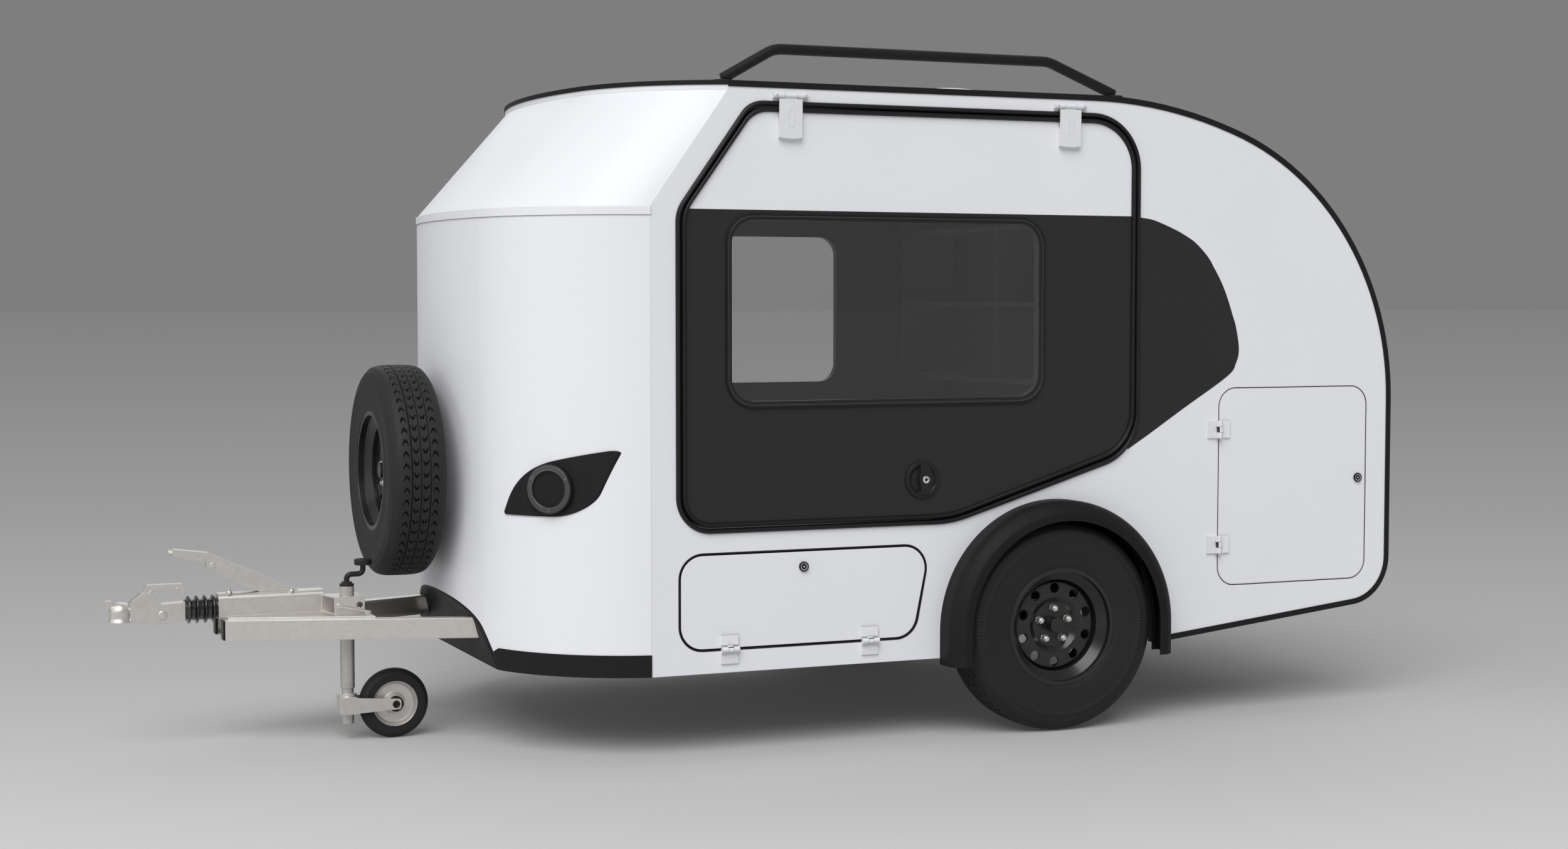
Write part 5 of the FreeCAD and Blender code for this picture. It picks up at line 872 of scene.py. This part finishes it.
def makeHinges(c):
    t = np.linspace(-1, 1, 17)
    (w, down, up, r), (sunk, proud), (frameSunk, frame) = c["slot"], c["thick"], c["frame"]
    bead = beadProfile(frame, frame, 0.0, 7)
    face = wallSide + c["face"]
    for side, sign in sides:
        out = (0, sign, 0)
        covers, frames, screws = [], [], []
        for x in wallFront - np.array(c["places"]):
            # lower edge bows down: z = bottom - arch * (1 - t^2)
            low = np.stack([x + t * c["half"], c["bottom"] - c["arch"] * (1 - t ** 2)], axis=1)
            outline = np.concatenate([low, [[x + c["half"], c["top"]], [x - c["half"], c["top"]]]])
            covers.append(plateShape(outline, sign * (face - sunk), sign * (face + proud), edge=c["edge"]))
            path = roundedPath([(x - w, down, r), (x + w, down, r), (x + w, up, r), (x - w, up, r)], 5)
            frames.append(carriedShape(onSide(path, sign * (face + proud - frameSunk)), bead, out))
            for ear in (-1, 1):
                at = (x + ear * c["ears"], sign * (wallSide + c["earOut"]), c["earUp"])
                screws.append(screwHead(at, out, *c["screw"]))
        addPiece(f"hingeCovers_{side}", gather(covers + frames), "hingeWhite", f"door_{side}",
                 smooth=30)
        addPiece(f"hingeScrews_{side}", gather(screws), "zincBright", "chassis")


makeHinges(hinge)


# key barrel in the door latch; the key's way, a round hole and a bar each between two levels, is painted shade in
# black
latch = {"back": 0.97, "up": 0.875, "out": 0.016, "radius": 0.0125, "hole": 0.38, "bar": (0.0075, 0.0013),
         "levels": ((0.0004, 0.0014), (0.0012, 0.0025))}


def makeLatch(c):
    r, (reach, half) = c["radius"], c["bar"]
    barrel = [(0, 0.001), (r * 0.4, 0.001), (r * 0.46, 0.002), (r * 0.88, 0.0022), (r, 0.0012), (r, -0.0015),
              (0, -0.0015)]
    t = np.linspace(0, 2 * np.pi, 20, endpoint=False)
    place = (wallFront - c["back"], c["up"])
    hole = r * c["hole"] * np.stack([np.cos(t), np.sin(t)], axis=1) + place
    bar = np.array([(-reach, -half), (0.0, -half), (0.0, half), (-reach, half)]) + place
    for side, sign in sides:
        level = sign * (wallSide + c["out"])
        shape = turnedShape(barrel, (place[0], level, place[1]), (0, sign, 0), 32)
        addPiece(f"keyBarrel_{side}", shape, "zincBright", f"door_{side}")
        # painted shade: the keyhole is a black round and bar laid on the barrel
        slot = [plateShape(outline, level + sign * low, level + sign * high)
                for outline, (low, high) in zip((hole, bar), c["levels"])]
        addPiece(f"keySlotShade_{side}", gather(slot), "capBlack", f"door_{side}", smooth=0)


makeLatch(latch)


# black line round the pane, and a thin lighter one inside it; loops are (inset, out from the pane's face), and
# None is the wall's face
gasket = {
    "corners": ((-0.257, 1.127, 0.095), (-0.257, 1.753, 0.095), (-1.424, 1.753, 0.095), (-1.424, 1.127, 0.095)),
    "pane": 0.006,
    "paneEdge": ("lipRubber", ((-0.002, None), (-0.0016, 0.0008), (0.003, 0.001), (0.004, 0.0001))),
    "paneLine": ("bezelGrey", ((0.0062, 0.0001), (0.0066, 0.0004), (0.0076, 0.0004), (0.008, 0.0001)))}


def makeGaskets(c):
    corners = np.array(c["corners"]) + (wallFront, 0, 0)
    for side, sign in sides:
        for name in ("paneEdge", "paneLine"):
            finish, loops = c[name]
            levels = [(inset, wallSide + (0.0001 if out is None else c["pane"] + out)) for inset, out in loops]
            addPiece(f"{name}_{side}", ringLoops(corners, sign, levels), finish, f"door_{side}")


makeGaskets(gasket)
print("hatch edges, hinges, latches and pane edges made")


# trims of the round lamps: a ring with a fine lip, bright from its shape and from the painted edge highlight, and
# three screws at the front
lamps = {
    "place": (0.939, 0.6961, 0.871), "angle": 44.9, "radius": 0.081, "ring": 0.022, "proud": 0.016,
    "screws": (30, 150, 270), "screw": (0.0036, 0.0014), "tailPlace": (-2.224, 0.7, 0.64), "tailRadius": 0.062}


def lampRing(r, width, proud):
    inner = r - width + 0.0004
    return [(r - 0.0042, proud + 0.0002), (r - 0.006, proud + 0.0012), (r - width * 0.5, proud + 0.0004),
            (inner + 0.003, proud + 0.0012), (inner + 0.0014, proud + 0.0016), (inner, proud + 0.0006),
            (inner, proud - 0.003), (r - 0.0042, proud - 0.001)]


def makeLamps(c):
    angle = math.radians(c["angle"])
    for side, sign in sides:
        axis = np.array((math.cos(angle), sign * math.sin(angle), 0.0))
        across = np.array((-axis[1], axis[0], 0.0)) * -sign
        centre = np.array(c["place"]) * (1, sign, 1)
        shapes = [turnedShape(lampRing(c["radius"], c["ring"], c["proud"]), centre, axis, 72, ring=True)]
        for t in np.radians(c["screws"]):
            spoke = across * math.cos(t) + upward * math.sin(t)
            at = centre + axis * (c["proud"] + 0.0005) + (c["radius"] - c["ring"] * 0.5) * spoke
            shapes.append(screwHead(at, axis, *c["screw"]))
        addPiece(f"lampTrim_{side}", gather(shapes), "bezelGrey", "chassis")
        centre = np.array(c["tailPlace"]) * (1, sign, 1)
        shape = turnedShape(lampRing(c["tailRadius"], c["ring"], c["proud"]), centre, (-1, 0, 0), 56, ring=True)
        addPiece(f"tailTrim_{side}", shape, "trimBlack", "chassis")


makeLamps(lamps)


def boxCorners(middleY, middleZ, halfY, halfZ, radius):
    return [(middleY - halfY, middleZ - halfZ, radius), (middleY + halfY, middleZ - halfZ, radius),
            (middleY + halfY, middleZ + halfZ, radius), (middleY - halfY, middleZ + halfZ, radius)]


# blank plate on its holder
plate = {"up": 0.64, "half": (0.252, 0.054), "radius": 0.008, "sunk": 0.0005, "thick": 0.0012, "edge": 0.0005}


def makePlate(c):
    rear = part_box("plate_holder")[0].x
    outline = roundedPath(boxCorners(0.0, c["up"], *c["half"], c["radius"]), 8)
    shape = plateShape(outline, rear + c["sunk"], rear - c["thick"], axis="x", edge=c["edge"])
    addPiece("blankPlate", shape, "plateWhite", "chassis", smooth=30)


makePlate(plate)


# fittings of the drawbar: end plugs (x, y, z, half width, half height), nuts on the housing (x, y, radius),
# rivets on the coupling (x, z, radius), and the jockey wheel's hub cap and bush (inner, outer, half width)
towGear = {
    "plug": (1.871, 0.078, 0.3875, 0.0215, 0.032), "plugEnds": (-0.002, 0.007), "plugRadius": 0.004,
    "plugEdge": 0.0015, "nuts": ((1.846, 0.03, 0.0105), (1.64, 0.034, 0.0085)),
    "rivets": ((2.061, 0.441, 0.015), (2.095, 0.519, 0.0048), (2.009, 0.523, 0.0048)), "hub": 0.0125,
    "bush": (0.01, 0.0265, 0.0038), "forkWall": 0.0052}


def makePlugs(c):
    (x, y, z, w, h), (low, high) = c["plug"], c["plugEnds"]
    outlines = [roundedPath(boxCorners(sign * y, z, w, h, c["plugRadius"]), 5) for _, sign in sides]
    plugs = [plateShape(outline, x + low, x + high, axis="x", edge=c["plugEdge"]) for outline in outlines]
    addPiece("barPlugs", gather(plugs), "capBlack", "chassis", smooth=30)


def makeBolts(c):
    shapes = []
    for x, y, r in c["nuts"]:
        top = surfaceAt("overrun_housing", (x, y, 1.0), (0, 0, -1))
        hexagon = [(0, -0.001), (r, -0.001), (r, r * 0.8), (r * 0.86, r * 0.95)]
        stud = [(0, r * 0.9), (r * 0.5, r * 0.9), (r * 0.5, r * 1.7), (0, r * 1.8)]
        shapes += [turnedShape(hexagon, top, (0, 0, 1), 6, capped=True), turnedShape(stud, top, (0, 0, 1), 14)]
    for x, z, r in c["rivets"]:
        dome = [(0, r * 0.28), (r * 0.6, r * 0.26), (r * 0.9, r * 0.16), (r, 0.0), (r, -0.001), (0, -0.001)]
        for _, sign in sides:
            face = surfaceAt("coupling_head", (x, sign * 1.0, z), (0, -sign, 0))
            shapes.append(turnedShape(dome, face, (0, sign, 0), 24))
    addPiece("towBolts", gather(shapes), "zinc", "chassis", smooth=30)


def makeHub(c):
    forkFace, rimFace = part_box("jockey_fork")[1].y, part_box("jockey_rim")[1].y
    x, _, z = middle("jockey_rim")
    r, (inner, outer, half) = c["hub"], c["bush"]
    cap = [(0, 0.0008), (r * 0.55, 0.0008), (r * 0.7, 0.003), (r, 0.0024), (r, -0.0015), (0, -0.0015)]
    bush = [(inner, -half), (outer, -half), (outer, half), (inner, half)]
    between = (rimFace + forkFace - c["forkWall"]) / 2
    shape = gather([turnedShape(cap, (x, forkFace, z), (0, 1, 0), 28),
                    turnedShape(bush, (x, between, z), (0, 1, 0), 32, ring=True)])
    addPiece("jockeyHub", shape, "capBlack", "jockey_fork", smooth=35)


makePlugs(towGear)
makeBolts(towGear)
makeHub(towGear)


# thin turned lip on each rim's outer flange
rimLip = {"radius": 0.2005, "tube": 0.001, "inset": 0.0001, "outside": 0.3}


def makeRimLips(c):
    t = np.linspace(0, 2 * np.pi, 10, endpoint=False)
    for name, tyreNode, node, body, facing in wheels:
        centre, axis = np.array(middle(tyreNode)), np.array(facing, float)
        face = surfaceAt(node, centre + upward * c["radius"] + axis * c["outside"], -axis)
        level = abs(float(np.dot(face - centre, axis)))
        profile = np.stack([c["radius"] + c["tube"] * np.cos(t), level + c["inset"] + c["tube"] * np.sin(t)], axis=1)
        addPiece(f"rimLip_{name}", turnedShape(profile, centre, axis, 96, ring=True), "rimBlack", body)


makeRimLips(rimLip)


# black flange on the wall inside each fender, and the bead along its inner edge; distances from the wheel's axis
archFlange = {"inner": 0.4005, "outer": 0.4285, "low": 0.2475, "sunk": 0.0001, "thick": 0.0016, "bead": 0.0042}


def archPath(centre, r, low, level):
    # half circle round the wheel's axis with straight legs down to a height
    t = np.linspace(0, np.pi, 49)
    arch = np.stack([centre[0] + r * np.cos(t), centre[2] + r * np.sin(t)], axis=1)
    return onSide(np.concatenate([[[centre[0] + r, low]], arch, [[centre[0] - r, low]]]), level)


def makeArches(c):
    centre = middle("tyre_left")
    # four edges of the flange's section, as (radius, out from the wall)
    section = ((c["inner"], c["sunk"]), (c["inner"], c["thick"]), (c["outer"], c["thick"]), (c["outer"], c["sunk"]))
    profile = beadProfile(c["bead"], c["bead"] * 1.6, 0.001)
    for side, sign in sides:
        points = np.stack([archPath(centre, r, c["low"], sign * (wallSide + y)) for r, y in section], axis=1)
        n, end = len(points), np.arange(4)[None]
        flange = (points.reshape(-1, 3), [gridFaces(n, 4, wrapCols=True), end, end[:, ::-1] + 4 * (n - 1)])
        path = archPath(centre, c["inner"] + c["bead"], c["low"] + 0.002, sign * wallSide)
        bead = carriedShape(path, profile, (0, sign, 0), closed=False)
        addPiece(f"archFlange_{side}", gather([flange, bead]), "capBlack", "chassis", smooth=30)


makeArches(archFlange)
print("lamp trims, plate, tow gear, rim lips and arch flanges made")
